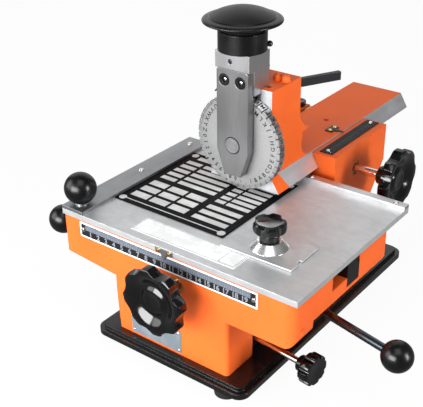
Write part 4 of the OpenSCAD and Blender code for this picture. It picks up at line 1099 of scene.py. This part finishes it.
@dataclass
class HandGrips:
    """All the knobs and balls of the machine.

    Attributes:
        dresser: gives the pieces their finish.
        front_rest: how far the front knob is turned at rest, in degrees.
        clamp_rest: how far the clamp's knob is turned at rest, in degrees.
        grip_up: height of the table grip's middle over the left fence.
        spacing_turn: angle of the spacing rod in the plan, in degrees.
        spacing_start: the place on the spacing rod's axis from which its length counts.
        spacing_face: length along that axis to the knob's face.
        feed_turn: angle of the feed lever in the plan, in degrees.
        feed_reach: length of the feed lever to the ball's middle.
        big_rings: profile of the two large knobs, in millimetres.
        spacing_rings: profile of the spacing rod's knob with its flat face, in millimetres.
        button_rings: profile of the low knob on the column, in millimetres.
    """

    dresser: Dresser
    front_rest: float = 9.4
    clamp_rest: float = -48.0
    grip_up: float = 16.51 * MM
    spacing_turn: float = -7.0
    spacing_start: Point = (27.5 * MM, -94.7 * MM, 25 * MM)
    spacing_face: float = 113.3 * MM
    feed_turn: float = -12.7
    feed_reach: float = 118 * MM
    big_rings: tuple[Ring, ...] = (
        (7.6, -27.0), (9.4, -26.8), (10.0, -26.0), (10.0, -15.4), (10.6, -13.4), (12.4, -12.4),
        (20.0, -12.0), (32.8, -11.9), (34.3, -11.4), (35.0, -10.2), (35.0, -2.4), (34.5, -1.1),
        (33.2, -0.3), (31.6, -0.05), (29.8, 0.0), (28.0, -0.3), (26.0, -0.9), (24.0, -1.9),
        (21.6, -3.4), (19.4, -4.9), (17.8, -5.8), (16.6, -6.2), (15.6, -6.1), (14.6, -5.6),
        (13.0, -4.5), (11.6, -3.7), (10.2, -3.3), (8.6, -3.4), (7.4, -3.9), (4.0, -4.1))
    spacing_rings: tuple[Ring, ...] = (
        (7.2, -20.0), (8.0, -19.2), (8.0, -13.2), (9.0, -12.1), (13.6, -11.8), (15.0, -11.0),
        (15.5, -9.8), (15.5, -1.3), (15.1, -0.5), (14.4, 0.0), (11.0, 0.0), (6.2, -0.6), (1.0, -0.8))
    button_rings: tuple[Ring, ...] = (
        (5.4, -7.4), (6.0, -7.1), (6.0, -6.6), (7.4, -6.2), (8.5, -5.4), (9.0, -4.0), (8.9, -2.2),
        (8.4, -0.8), (7.6, -0.1), (6.8, 0.0), (5.4, -0.4), (3.2, -0.8), (0.8, -0.9))

    def build(self) -> None:
        """Makes, places and dresses every grip."""
        self.drive_knobs()
        self.star_knobs()
        self.balls()

    def clamp_rings(self, height: float) -> list[Ring]:
        """Shapes the profile of the clamp's star knob.

        Args:
            height: the knob's whole height, in millimetres.

        Returns:
            The rings.
        """
        radius = 16
        rim = 13
        hub = 9.5
        neck = height - rim
        return in_metres([
            (hub * 0.9, -rim - neck), (hub, -rim - neck + 0.8), (hub, -rim - 1.2),
            (hub * 1.12, -rim + 0.3), (radius * 0.86, -rim + 1.6), (radius * 0.97, -rim + 3.6),
            (radius, -rim * 0.5), (radius * 0.98, -2.0), (radius * 0.91, -0.4), (radius * 0.82, 0.0),
            (radius * 0.66, -0.8), (radius * 0.4, -1.8), (1.0, -2.2)])

    def drive_knobs(self) -> None:
        """Makes the two large knobs of the drives, the second as a copy of the first."""
        grip = LobedGrip(
            "front_hand_knob", "front_knob", "front_drive", lobes=8, radius=0.035, depth=0.0046,
            rings=in_metres(self.big_rings), rim=0.012)
        knob = grip.build(Matrix.Identity(4))
        twin = Workshop.copied(knob, "side_hand_knob")
        face = middle("front_shaft")
        face.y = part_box("front_knob")[0][1]
        rest = Matrix.Rotation(math.radians(self.front_rest), 4, "Z")
        Workshop.place(knob, Matrix.Translation(face) @ Facing.FRONT.turn() @ rest)
        self.dresser.fit(knob, BAKELITE, grip.body, "bakelite", grip.node)
        face = middle("side_shaft")
        face.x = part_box("side_knob")[1][0]
        Workshop.place(twin, Matrix.Translation(face) @ Facing.RIGHT.turn())
        self.dresser.fit(twin, BAKELITE, "side_drive", "bakelite", "side_knob")

    def star_knobs(self) -> None:
        """Makes the star knobs of the clamp, the spacing rod and the arm."""
        low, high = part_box("clamp_knob")
        face = middle("clamp_stud")
        face.z = high[2]
        rest = Matrix.Rotation(math.radians(self.clamp_rest), 4, "Z")
        grip = LobedGrip(
            "clamp_star_knob", "clamp_knob", "clamp", lobes=5, radius=0.016, depth=0.0042,
            rings=self.clamp_rings((high[2] - low[2]) / MM), rim=0.013, edge=0.0011, land=15.0)
        self.lobed(grip, Matrix.Translation(face) @ Facing.UP.turn() @ rest)
        turn = math.radians(self.spacing_turn)
        along = Vector((math.cos(turn), math.sin(turn), 0))
        face = Vector(self.spacing_start) + along * self.spacing_face
        grip = LobedGrip(
            "spacing_star_knob", "spacing_knob", "spacing", lobes=8, radius=0.0155, depth=0.0026,
            rings=in_metres(self.spacing_rings), rim=0.012, edge=0.0007, land=13.0)
        self.lobed(grip, Matrix.Translation(face) @ Matrix.Rotation(turn, 4, "Z") @ Facing.RIGHT.turn())
        face = middle("arm_clamp")
        face.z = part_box("arm_clamp")[1][2]
        grip = LobedGrip(
            "arm_clamp_knob", "arm_clamp", "arm_lock", lobes=6, radius=0.009, depth=0.0018,
            rings=in_metres(self.button_rings), rim=0.0064, edge=0.0006)
        self.lobed(grip, Matrix.Translation(face) @ Facing.UP.turn())

    def balls(self) -> None:
        """Makes the balls of the table grip, the feed lever and the release rod."""
        centre = middle("grip_stud")
        centre.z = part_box("left_fence")[1][2] + self.grip_up
        grip = BallGrip("table_grip_ball", "grip_ball", "table", 33 * MM)
        self.ball(grip, centre, Vector((0, 0, 1)))
        turn = math.radians(self.feed_turn)
        reach = Vector((math.cos(turn), math.sin(turn), 0))
        centre = middle("feed_pivot")
        centre.z = middle("feed_lever").z
        grip = BallGrip("feed_lever_ball", "feed_ball", "feed", 29 * MM)
        self.ball(grip, centre + reach * self.feed_reach, reach)
        centre = middle("release_rod")
        centre.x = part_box("release_rod")[0][0]
        grip = BallGrip("release_rod_ball", "release_ball", "release", 31 * MM)
        self.ball(grip, centre, Vector((-1, 0, 0)))

    def lobed(self, grip: LobedGrip, placing: Matrix) -> None:
        """Makes and dresses one lobed knob."""
        self.dresser.fit(grip.build(placing), BAKELITE, grip.body, "bakelite", grip.node)

    def ball(self, grip: BallGrip, centre: Vector, outward: Vector) -> None:
        """Makes and dresses one ball."""
        self.dresser.fit(grip.build(centre, outward), BALL_BLACK, grip.body, "bakelite", grip.node)


@dataclass
class PushCap:
    """The mushroom cap that the palm strikes.

    Attributes:
        dresser: gives the piece its finish.
        top_radius: radius of the round top inside the rim.
        top_foot: height of the round top's edge over the foot.
        dome: height of the round top over its edge.
        steps: rings of the round top.
    """

    dresser: Dresser
    top_radius: float = 31.6 * MM
    top_foot: float = 13.4 * MM
    dome: float = 8.5 * MM
    steps: int = 18

    def build(self) -> None:
        """Turns the cap with its hollow underside, rolled rim and low round top."""
        rings = in_metres([
            (20.5, 0.1), (21.4, 0.4), (21.6, 1.6), (23.5, 3.6), (28.0, 5.4), (34.0, 7.2),
            (37.6, 8.2), (38.5, 8.6), (38.9, 9.4), (38.8, 10.0), (38.3, 10.7), (37.4, 11.3),
            (36.0, 11.8), (34.4, 12.1), (33.0, 12.3), (32.4, 12.5), (32.0, 12.9)])
        ball = (self.top_radius ** 2 + self.dome ** 2) / (2 * self.dome)
        for k in range(self.steps):
            reach = self.top_radius * math.cos(math.pi / 2 * k / self.steps)
            rings.append((reach, self.top_foot + self.dome - ball + math.sqrt(ball ** 2 - reach ** 2)))
        rings.append((0.4 * MM, self.top_foot + self.dome))
        cap = Workshop.turned("palm_cap", rings, 96)
        Workshop.smooth(cap, 50.0)
        foot = middle("collar")
        foot.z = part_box("collar")[1][2]
        Workshop.place(cap, Matrix.Translation(foot))
        self.dresser.fit(cap, SATIN, "plunger", "satin_black", "mushroom_cap")
        # The rim and the hollow underside take the glossier, darker black: the glossy rim is the cap's
        # own finish, and the darker underside is partly painted shade under the rim.
        cap.data.materials.append(COLLAR_BLACK.material())
        for face in cap.data.polygons:
            reach = (face.center - foot).xy.length
            if reach > self.top_radius:
                face.material_index = 1


@dataclass
class HeadDetails:
    """Small turned details on the press head's front.

    Attributes:
        dresser: gives the pieces their finish.
        screw_x: how far each bracket screw sits from the axle's plane.
        screw_drop: how far the screws sit below the bracket plate's top.
        socket_floor: how deep the sockets' floors lie.
    """

    dresser: Dresser
    screw_x: float = 9.5 * MM
    screw_drop: float = 11.3 * MM
    socket_floor: float = 1.3 * MM

    def build(self) -> None:
        """Makes the dark ring round the axle's end, painted shade for the gap round the axle, and a
        bright chrome floor in each screw socket, a painted highlight that stands in for the socket's
        glint.
        """
        low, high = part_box("bracket_plate")
        axle = middle("wheel_axle")
        axle.y = low[1]
        # Painted shade: a dark ring laid round the axle's end, where the gap round the axle lies in
        # shadow.
        ring = Workshop.turned("axle_shade_ring", in_metres([
            (8.4, -0.1), (9.1, -0.1), (9.2, 0.0), (9.1, 0.15), (8.4, 0.2)]), 64)
        Workshop.place(ring, Matrix.Translation(axle) @ Facing.FRONT.turn())
        self.dresser.fit(ring, INK, "plunger", "bakelite")
        # Painted highlight: bright chrome floors in the dark screw sockets stand in for the sockets'
        # glint.
        floor = Workshop.turned("socket_floor", in_metres([
            (1.7, -0.3), (1.7, 0.1), (1.2, 0.35), (0.4, 0.45)]), 24)
        Workshop.smooth(floor)
        depth = low[1] + self.socket_floor
        level = high[2] - self.screw_drop
        spots = [(axle.x + side * self.screw_x, depth, level) for side in (-1, 1)]
        floors = Workshop.spread("bracket_socket_glints", floor, spots, Facing.FRONT)
        self.dresser.fit(floors, CHROME, "plunger", "chrome")


@dataclass
class TypeWheel:
    """The characters on the type wheel: printed on its face and standing on its rim.

    Attributes:
        dresser: gives the pieces their finish.
        characters: one for each type block.
        first_angle: where the first one sits, counter-clockwise from the right.
        printed_in: how far inside the rim the printed ring lies.
        printed_size: size of the printed characters.
        type_size: size of the standing ones.
    """

    dresser: Dresser
    characters: str = "ABCDEFGHIJKLMNOPQRSTUVWXYZ0123456789-./&"
    first_angle: float = -49.5
    printed_in: float = 7.8 * MM
    printed_size: float = 6.6 * MM
    type_size: float = 6.4 * MM

    def __post_init__(self) -> None:
        """Reads the wheel's place and size from its type blocks."""
        low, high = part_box("type_blocks")
        self.centre = middle("type_blocks")
        self.face = low[1]
        self.rim = (high[0] - low[0]) / 2

    def build(self) -> None:
        """Makes both rings of characters."""
        printed = []
        raised = []
        for k, character in enumerate(self.characters):
            angle = math.radians(self.first_angle + 360 / len(self.characters) * k)
            printed.append(self.on_face(character, angle))
            raised.append(self.on_rim(character, angle))
        ring = Workshop.joined("wheel_characters", printed)
        self.dresser.fit(ring, INK, "wheel", "bakelite")
        type_ring = Workshop.joined("rim_type", raised)
        self.dresser.fit(type_ring, INK, "wheel", "bakelite")

    def on_face(self, character: str, angle: float) -> Piece:
        """Makes one printed character, its head towards the axis.

        Args:
            character: what it reads.
            angle: where it sits round the axle.

        Returns:
            The mesh object.
        """
        piece = Workshop.character(character, self.printed_size, 0.03 * MM, 0.12 * MM)
        radius = self.rim - self.printed_in
        spot = Vector((
            self.centre.x + radius * math.cos(angle), self.face,
            self.centre.z + radius * math.sin(angle)))
        turn = Matrix.Rotation(-(angle + math.pi / 2), 4, "Y")
        Workshop.place(piece, Matrix.Translation(spot) @ turn @ Facing.FRONT.turn())
        return piece

    def on_rim(self, character: str, angle: float) -> Piece:
        """Makes one mirrored character standing on the rim, as type does.

        Args:
            character: what it reads.
            angle: where it sits round the axle.

        Returns:
            The mesh object.
        """
        piece = Workshop.character(character, self.type_size, 0.2 * MM, 0.1 * MM)
        spot = Vector((0, self.centre.y, self.rim))
        mirror = Matrix.Diagonal((-1, 1, 1, 1))
        turn = Matrix.Rotation(-(angle - math.pi / 2), 4, "Y")
        move = Matrix.Translation((self.centre.x, 0, self.centre.z))
        Workshop.place(piece, move @ turn @ Matrix.Translation(spot) @ mirror)
        Workshop.weld(piece)
        return piece


@dataclass
class Rules:
    """The printed rule on the apron and the one on the column.

    Attributes:
        dresser: gives the pieces their finish.
        figures: how many figures the front rule has.
        figure_size: size of the figures.
        figure_up: height of their middles as a share of the strip's width.
        end_gap: distance of the first and the last figure from the strip's ends.
    """

    dresser: Dresser
    figures: int = 19
    figure_size: float = 7.6 * MM
    figure_up: float = 0.30
    end_gap: float = 14 * MM

    def build(self) -> None:
        """Prints the strips and sets the figures on the front one."""
        low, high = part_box("front_scale")
        strip = RuledStrip(
            "front_rule", (0.5, 0.5, 0.5), 0.40, 0.0002, low=(low[0], low[2]), high=(high[0], high[2]),
            dark_share=0.52, border=0.0016, band=(0.10, 0.115, 0.14), mark=(0.19, 0.21, 0.24))
        self.dresser.coat(self.dresser.frame["nodes"]["front_scale"], strip)
        width = high[2] - low[2]
        start = low[0] + self.end_gap
        pitch = (high[0] - low[0] - 2 * self.end_gap) / (self.figures - 1)
        parts = []
        for k in range(self.figures):
            piece = Workshop.character(str(k + 1), self.figure_size, 0.04 * MM, 0.25 * MM)
            spot = Vector((start + pitch * k, low[1], low[2] + width * self.figure_up))
            Workshop.place(piece, Matrix.Translation(spot) @ Facing.FRONT.turn())
            parts.append(piece)
        self.dresser.fit(Workshop.joined("rule_figures", parts), PALE_INK, "frame", "scale_face")
        low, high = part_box("column_scale")
        strip = RuledStrip(
            "column_rule", (0.02, 0.02, 0.02), 0.36, 0.0002, low=(low[1], low[0]),
            high=(high[1], high[0]), length_axis="Y", width_axis="X", dark_share=0.40, border=0.0,
            band=RuledStrip.dark, mark=(0.10, 0.10, 0.10))
        self.dresser.coat(self.dresser.frame["nodes"]["column_scale"], strip)


@dataclass
class Plates:
    """Bare printed plates: the sample nameplate's fields, the table's label and the leg's label.

    Attributes:
        dresser: gives the pieces their finish.
        table_label_box: the table label's left, front, right and back edges.
        leg_label_box: the leg label's left, lower, right and upper edges.
        label_thick: thickness of the table's label.
        plate_thick: thickness of the leg's label.
        hole_inset: distance of the nameplate's corner holes from its edges.
        rivet_inset: distance of the rivets from the leg label's edges.
        plug_y: place of the bed's plug from front to back.
        plug_z: height of the bed's plug.
    """

    dresser: Dresser
    table_label_box: Edges = (-54 * MM, -141.5 * MM, 69 * MM, -116 * MM)
    leg_label_box: Edges = (-52 * MM, 12.5 * MM, 12 * MM, 38.5 * MM)
    label_thick: float = 0.25 * MM
    plate_thick: float = 0.6 * MM
    hole_inset: float = 6 * MM
    rivet_inset: float = 3 * MM
    plug_y: float = -135.5 * MM
    plug_z: float = 84.5 * MM

    def build(self) -> None:
        """Makes the fields, the labels and the plug on the bed's end."""
        self.nameplate_fields()
        self.table_label()
        self.leg_label()
        self.bed_plug()

    def nameplate_fields(self) -> None:
        """Lays plain pale fields on the black nameplate, and a ring round each corner hole."""
        low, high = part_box("nameplate")
        top = high[2]
        wide = high[0] - low[0]
        deep = high[1] - low[1]
        fields = [(0.10, 0.90, 0.58, 0.955), (0.64, 0.86, 0.90, 0.955), (0.06, 0.045, 0.94, 0.055)]
        fields += self.stack(0.06, 0.20, 0.47, 0.083, 0.05, 5)
        fields += self.stack(0.23, 0.58, 0.47, 0.083, 0.05, 5)
        fields += self.stack(0.64, 0.72, 0.40, 0.073, 0.045, 6)
        fields += self.stack(0.74, 0.94, 0.40, 0.073, 0.045, 6)
        for left in (0.06, 0.24, 0.42):
            fields += self.stack(left, left + 0.155, 0.11, 0.11, 0.075, 3)
        fields += self.stack(0.64, 0.94, 0.11, 0.09, 0.055, 3)
        parts = []
        for x0, y0, x1, y1 in fields:
            parts.append(Workshop.slab(
                "field", (low[0] + wide * x0, low[1] + deep * y0, top - 0.02 * MM),
                (low[0] + wide * x1, low[1] + deep * y1, top + 0.05 * MM), 0.02 * MM))
        self.dresser.fit(Workshop.joined("nameplate_fields", parts), PLATE_PALE, "table", "machined")
        ring = Workshop.turned("corner_ring", in_metres([
            (2.6, 0.0), (4.2, 0.0), (4.2, 0.08), (2.6, 0.08)]), 32)
        spots = [
            (x, y, top - 0.01 * MM)
            for x in (low[0] + self.hole_inset, high[0] - self.hole_inset)
            for y in (low[1] + self.hole_inset, high[1] - self.hole_inset)]
        corners = Workshop.spread("nameplate_corner_rings", ring, spots, Facing.UP)
        self.dresser.fit(corners, PLATE_PALE, "table", "machined")

    def stack(self, left: float, right: float, first: float, pitch: float, tall: float,
              count: int) -> list[Edges]:
        """Returns fields in a row from front to back, their edges as shares of the plate's size."""
        fronts = [first + row * pitch for row in range(count)]
        return [(left, front, right, front + tall) for front in fronts]

    def table_label(self) -> None:
        """Lays the pale blank label at the table's front, with thin printed frames on it."""
        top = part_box("table_plate")[1][2]
        left, front, right, back = self.table_label_box
        level = top + self.label_thick
        label = Workshop.slab("table_label", (left, front, top), (right, back, level), 0.08 * MM)
        self.dresser.fit(label, LABEL_PALE, "table", "machined")
        outer = 1 * MM
        inner = 2.5 * MM
        lines = self.outline(left + outer, front + outer, right - outer, back - outer, level)
        lines += self.outline(right - 20 * MM, front + inner, right - inner, back - inner, level)
        self.dresser.fit(Workshop.joined("table_label_lines", lines), INK, "table", "bakelite")

    def outline(self, left: float, front: float, right: float, back: float,
                level: float) -> list[Piece]:
        """Returns the four thin bars of a printed rectangle.

        Args:
            left: its left edge.
            front: its front edge.
            right: its right edge.
            back: its back edge.
            level: height of the surface it is printed on.

        Returns:
            The four bars.
        """
        line = 0.3 * MM
        bars = [
            (left, front, right, front + line), (left, back - line, right, back),
            (left, front + line, left + line, back - line),
            (right - line, front + line, right, back - line)]
        return [
            Workshop.slab("line", (x0, y0, level - 0.01 * MM), (x1, y1, level + 0.02 * MM))
            for x0, y0, x1, y1 in bars]

    def leg_label(self) -> None:
        """Fixes the bare grey plate on the leg, with its four rivets."""
        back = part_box("bed_casting")[0][1]
        front = back - self.plate_thick
        left, low, right, high = self.leg_label_box
        plate = Workshop.slab("leg_label", (left, front, low), (right, back, high), 0.25 * MM)
        self.dresser.fit(plate, LABEL_GREY, "frame", "scale_face")
        rivet = Workshop.turned("rivet", in_metres([
            (1.2, -0.2), (1.2, 0.25), (0.9, 0.55), (0.3, 0.7)]), 20)
        Workshop.smooth(rivet)
        spots = [
            (x, front, z)
            for x in (left + self.rivet_inset, right - self.rivet_inset)
            for z in (low + self.rivet_inset, high - self.rivet_inset)]
        rivets = Workshop.spread("leg_label_rivets", rivet, spots, Facing.FRONT)
        self.dresser.fit(rivets, CHROME, "frame", "chrome")

    def bed_plug(self) -> None:
        """Sets the small round plug in the bed's right end."""
        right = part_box("bed_casting")[1][0]
        plug = Workshop.turned("bed_end_plug", in_metres([
            (4.0, -0.3), (4.0, 0.4), (3.4, 0.8), (1.0, 0.9)]), 32)
        Workshop.smooth(plug)
        spot = Matrix.Translation((right, self.plug_y, self.plug_z))
        Workshop.place(plug, spot @ Facing.RIGHT.turn())
        self.dresser.fit(plug, ORANGE, "frame", "orange_paint")


@dataclass(frozen=True)
class Lamp:
    """One rectangular soft lamp.

    Attributes:
        name: its name.
        place: where it hangs.
        width: its size from side to side.
        height: its size upwards.
        power: its power in watts.
    """

    name: str
    place: Point
    width: float
    height: float
    power: float


@dataclass
class Studio:
    """The floor, the light and the camera.

    Attributes:
        eye: the camera's place.
        azimuth: its direction round the machine, from the front to the right.
        elevation: its height angle.
        roll: its tilt.
        lens: focal length for a 36 mm wide frame.
        floor_grey: the floor's grey where it takes shadows.
        floor_seen: how much of the floor's look is plain white to the camera.
        floor_mirrored: the floor's brightness in reflections.
        world_light: the surroundings' brightness as light.
        world_gloss: what they have more of in reflections.
        aim: the point that the lamps look at.
        lamps: the soft lamps.
    """

    eye: Point = (457.9 * MM, -672.3 * MM, 551.7 * MM)
    azimuth: float = 37.871
    elevation: float = 28.514
    roll: float = -0.863
    lens: float = 74.77
    floor_grey: Colour = (0.7, 0.7, 0.7)
    floor_seen: float = 0.94
    floor_mirrored: float = 0.26
    world_light: float = 0.13
    world_gloss: float = 0.04
    aim: Point = (0.0, 0.0, 0.13)
    lamps: tuple[Lamp, ...] = (
        Lamp("key_lamp", (-0.06, -1.30, 0.42), 1.05, 0.55, 32.0),
        Lamp("left_panel", (-1.05, -0.95, 0.60), 1.0, 0.9, 12.0),
        Lamp("side_lamp", (1.45, 0.12, 0.46), 0.32, 0.7, 16.0),
        Lamp("top_lamp", (0.42, -0.55, 1.45), 1.0, 1.0, 6.5),
        Lamp("back_panel", (-0.86, 1.00, 0.86), 2.3, 1.7, 9.2))

    def build(self) -> None:
        """Sets up the floor, the world, the lamps and the camera."""
        self.floor()
        self.world()
        for lamp in self.lamps:
            self.hang(lamp)
        self.camera()
        bpy.context.scene.view_settings.view_transform = "Standard"

    def floor(self) -> None:
        """Lays the pale floor under the feet, which keeps a soft shadow."""
        Workshop.clear()
        bpy.ops.mesh.primitive_plane_add(size=12, location=(0, 0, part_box("rubber_feet")[0][2]))
        floor = bpy.context.object
        floor.name = "floor"
        Workshop.settle(floor)
        material = bpy.data.materials.new("floor")
        material.use_nodes = True
        pen = NodePen(material.node_tree)
        matt = pen.add("ShaderNodeBsdfDiffuse", {"Color": pen.opaque(self.floor_grey)})
        light = pen.add("ShaderNodeLightPath")
        seen = light.outputs["Is Camera Ray"]
        mirrored = light.outputs["Is Glossy Ray"]
        strength = pen.plus(seen, pen.times(mirrored, self.floor_mirrored))
        glow = pen.add("ShaderNodeEmission", {"Color": (1.0, 1.0, 1.0, 1.0), "Strength": strength})
        share = pen.plus(pen.times(seen, self.floor_seen), mirrored)
        mix = pen.add("ShaderNodeMixShader", {"0": share, "1": matt.outputs[0], "2": glow.outputs[0]})
        pen.add("ShaderNodeOutputMaterial", {"Surface": mix.outputs[0]})
        floor.data.materials.append(material)

    def world(self) -> None:
        """Makes the plain white surroundings, dimmer as light than as background."""
        world = bpy.data.worlds.new("studio")
        bpy.context.scene.world = world
        world.use_nodes = True
        pen = NodePen(world.node_tree)
        light = pen.add("ShaderNodeLightPath")
        seen = pen.most(light.outputs["Is Camera Ray"], light.outputs["Is Transmission Ray"])
        glossy = light.outputs["Is Glossy Ray"]
        dim = pen.plus(pen.times(glossy, self.world_gloss), self.world_light)
        strength = pen.most(seen, dim)
        back = pen.add("ShaderNodeBackground", {"Color": (1.0, 1.0, 1.0, 1.0), "Strength": strength})
        pen.add("ShaderNodeOutputWorld", {"Surface": back.outputs[0]})

    def hang(self, lamp: Lamp) -> None:
        """Hangs one lamp, aimed at the machine and out of the camera's sight.

        Args:
            lamp: its size, place and power.
        """
        Workshop.clear()
        bpy.ops.object.light_add(type="AREA", location=lamp.place)
        light = bpy.context.object
        light.name = lamp.name
        light.data.shape = "RECTANGLE"
        light.data.size = lamp.width
        light.data.size_y = lamp.height
        light.data.energy = lamp.power
        light.visible_camera = False
        aim = Vector(self.aim) - Vector(lamp.place)
        light.rotation_euler = aim.to_track_quat("-Z", "Y").to_euler()

    def camera(self) -> None:
        """Puts the camera where the photograph was taken from."""
        a = math.radians(self.azimuth)
        e = math.radians(self.elevation)
        r = math.radians(self.roll)
        back = Vector((math.sin(a) * math.cos(e), -math.cos(a) * math.cos(e), math.sin(e)))
        right = (-back).cross(Vector((0, 0, 1))).normalized()
        up = right.cross(-back)
        turned_right = math.cos(r) * right + math.sin(r) * up
        turned_up = -math.sin(r) * right + math.cos(r) * up
        Workshop.clear()
        bpy.ops.object.camera_add()
        camera = bpy.context.object
        camera.data.sensor_fit = "HORIZONTAL"
        camera.data.sensor_width = 36.0
        camera.data.lens = self.lens
        camera.data.clip_start = 0.05
        camera.matrix_world = Matrix((
            (turned_right.x, turned_up.x, back.x, self.eye[0]),
            (turned_right.y, turned_up.y, back.y, self.eye[1]),
            (turned_right.z, turned_up.z, back.z, self.eye[2]),
            (0, 0, 0, 1)))
        bpy.context.scene.camera = camera


def corners(box: tuple) -> list[list[float]]:
    """Returns a box's two corners as plain lists of numbers."""
    return [[float(v) for v in corner] for corner in box]


def main() -> None:
    """Builds the machine's looks in order."""
    logging.basicConfig(level=logging.INFO)
    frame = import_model()
    dresser = Dresser(frame)
    dresser.nodes()
    HandGrips(dresser).build()
    PushCap(dresser).build()
    HeadDetails(dresser).build()
    TypeWheel(dresser).build()
    Rules(dresser).build()
    Plates(dresser).build()
    Studio().build()


if __name__ == "__main__":
    main()
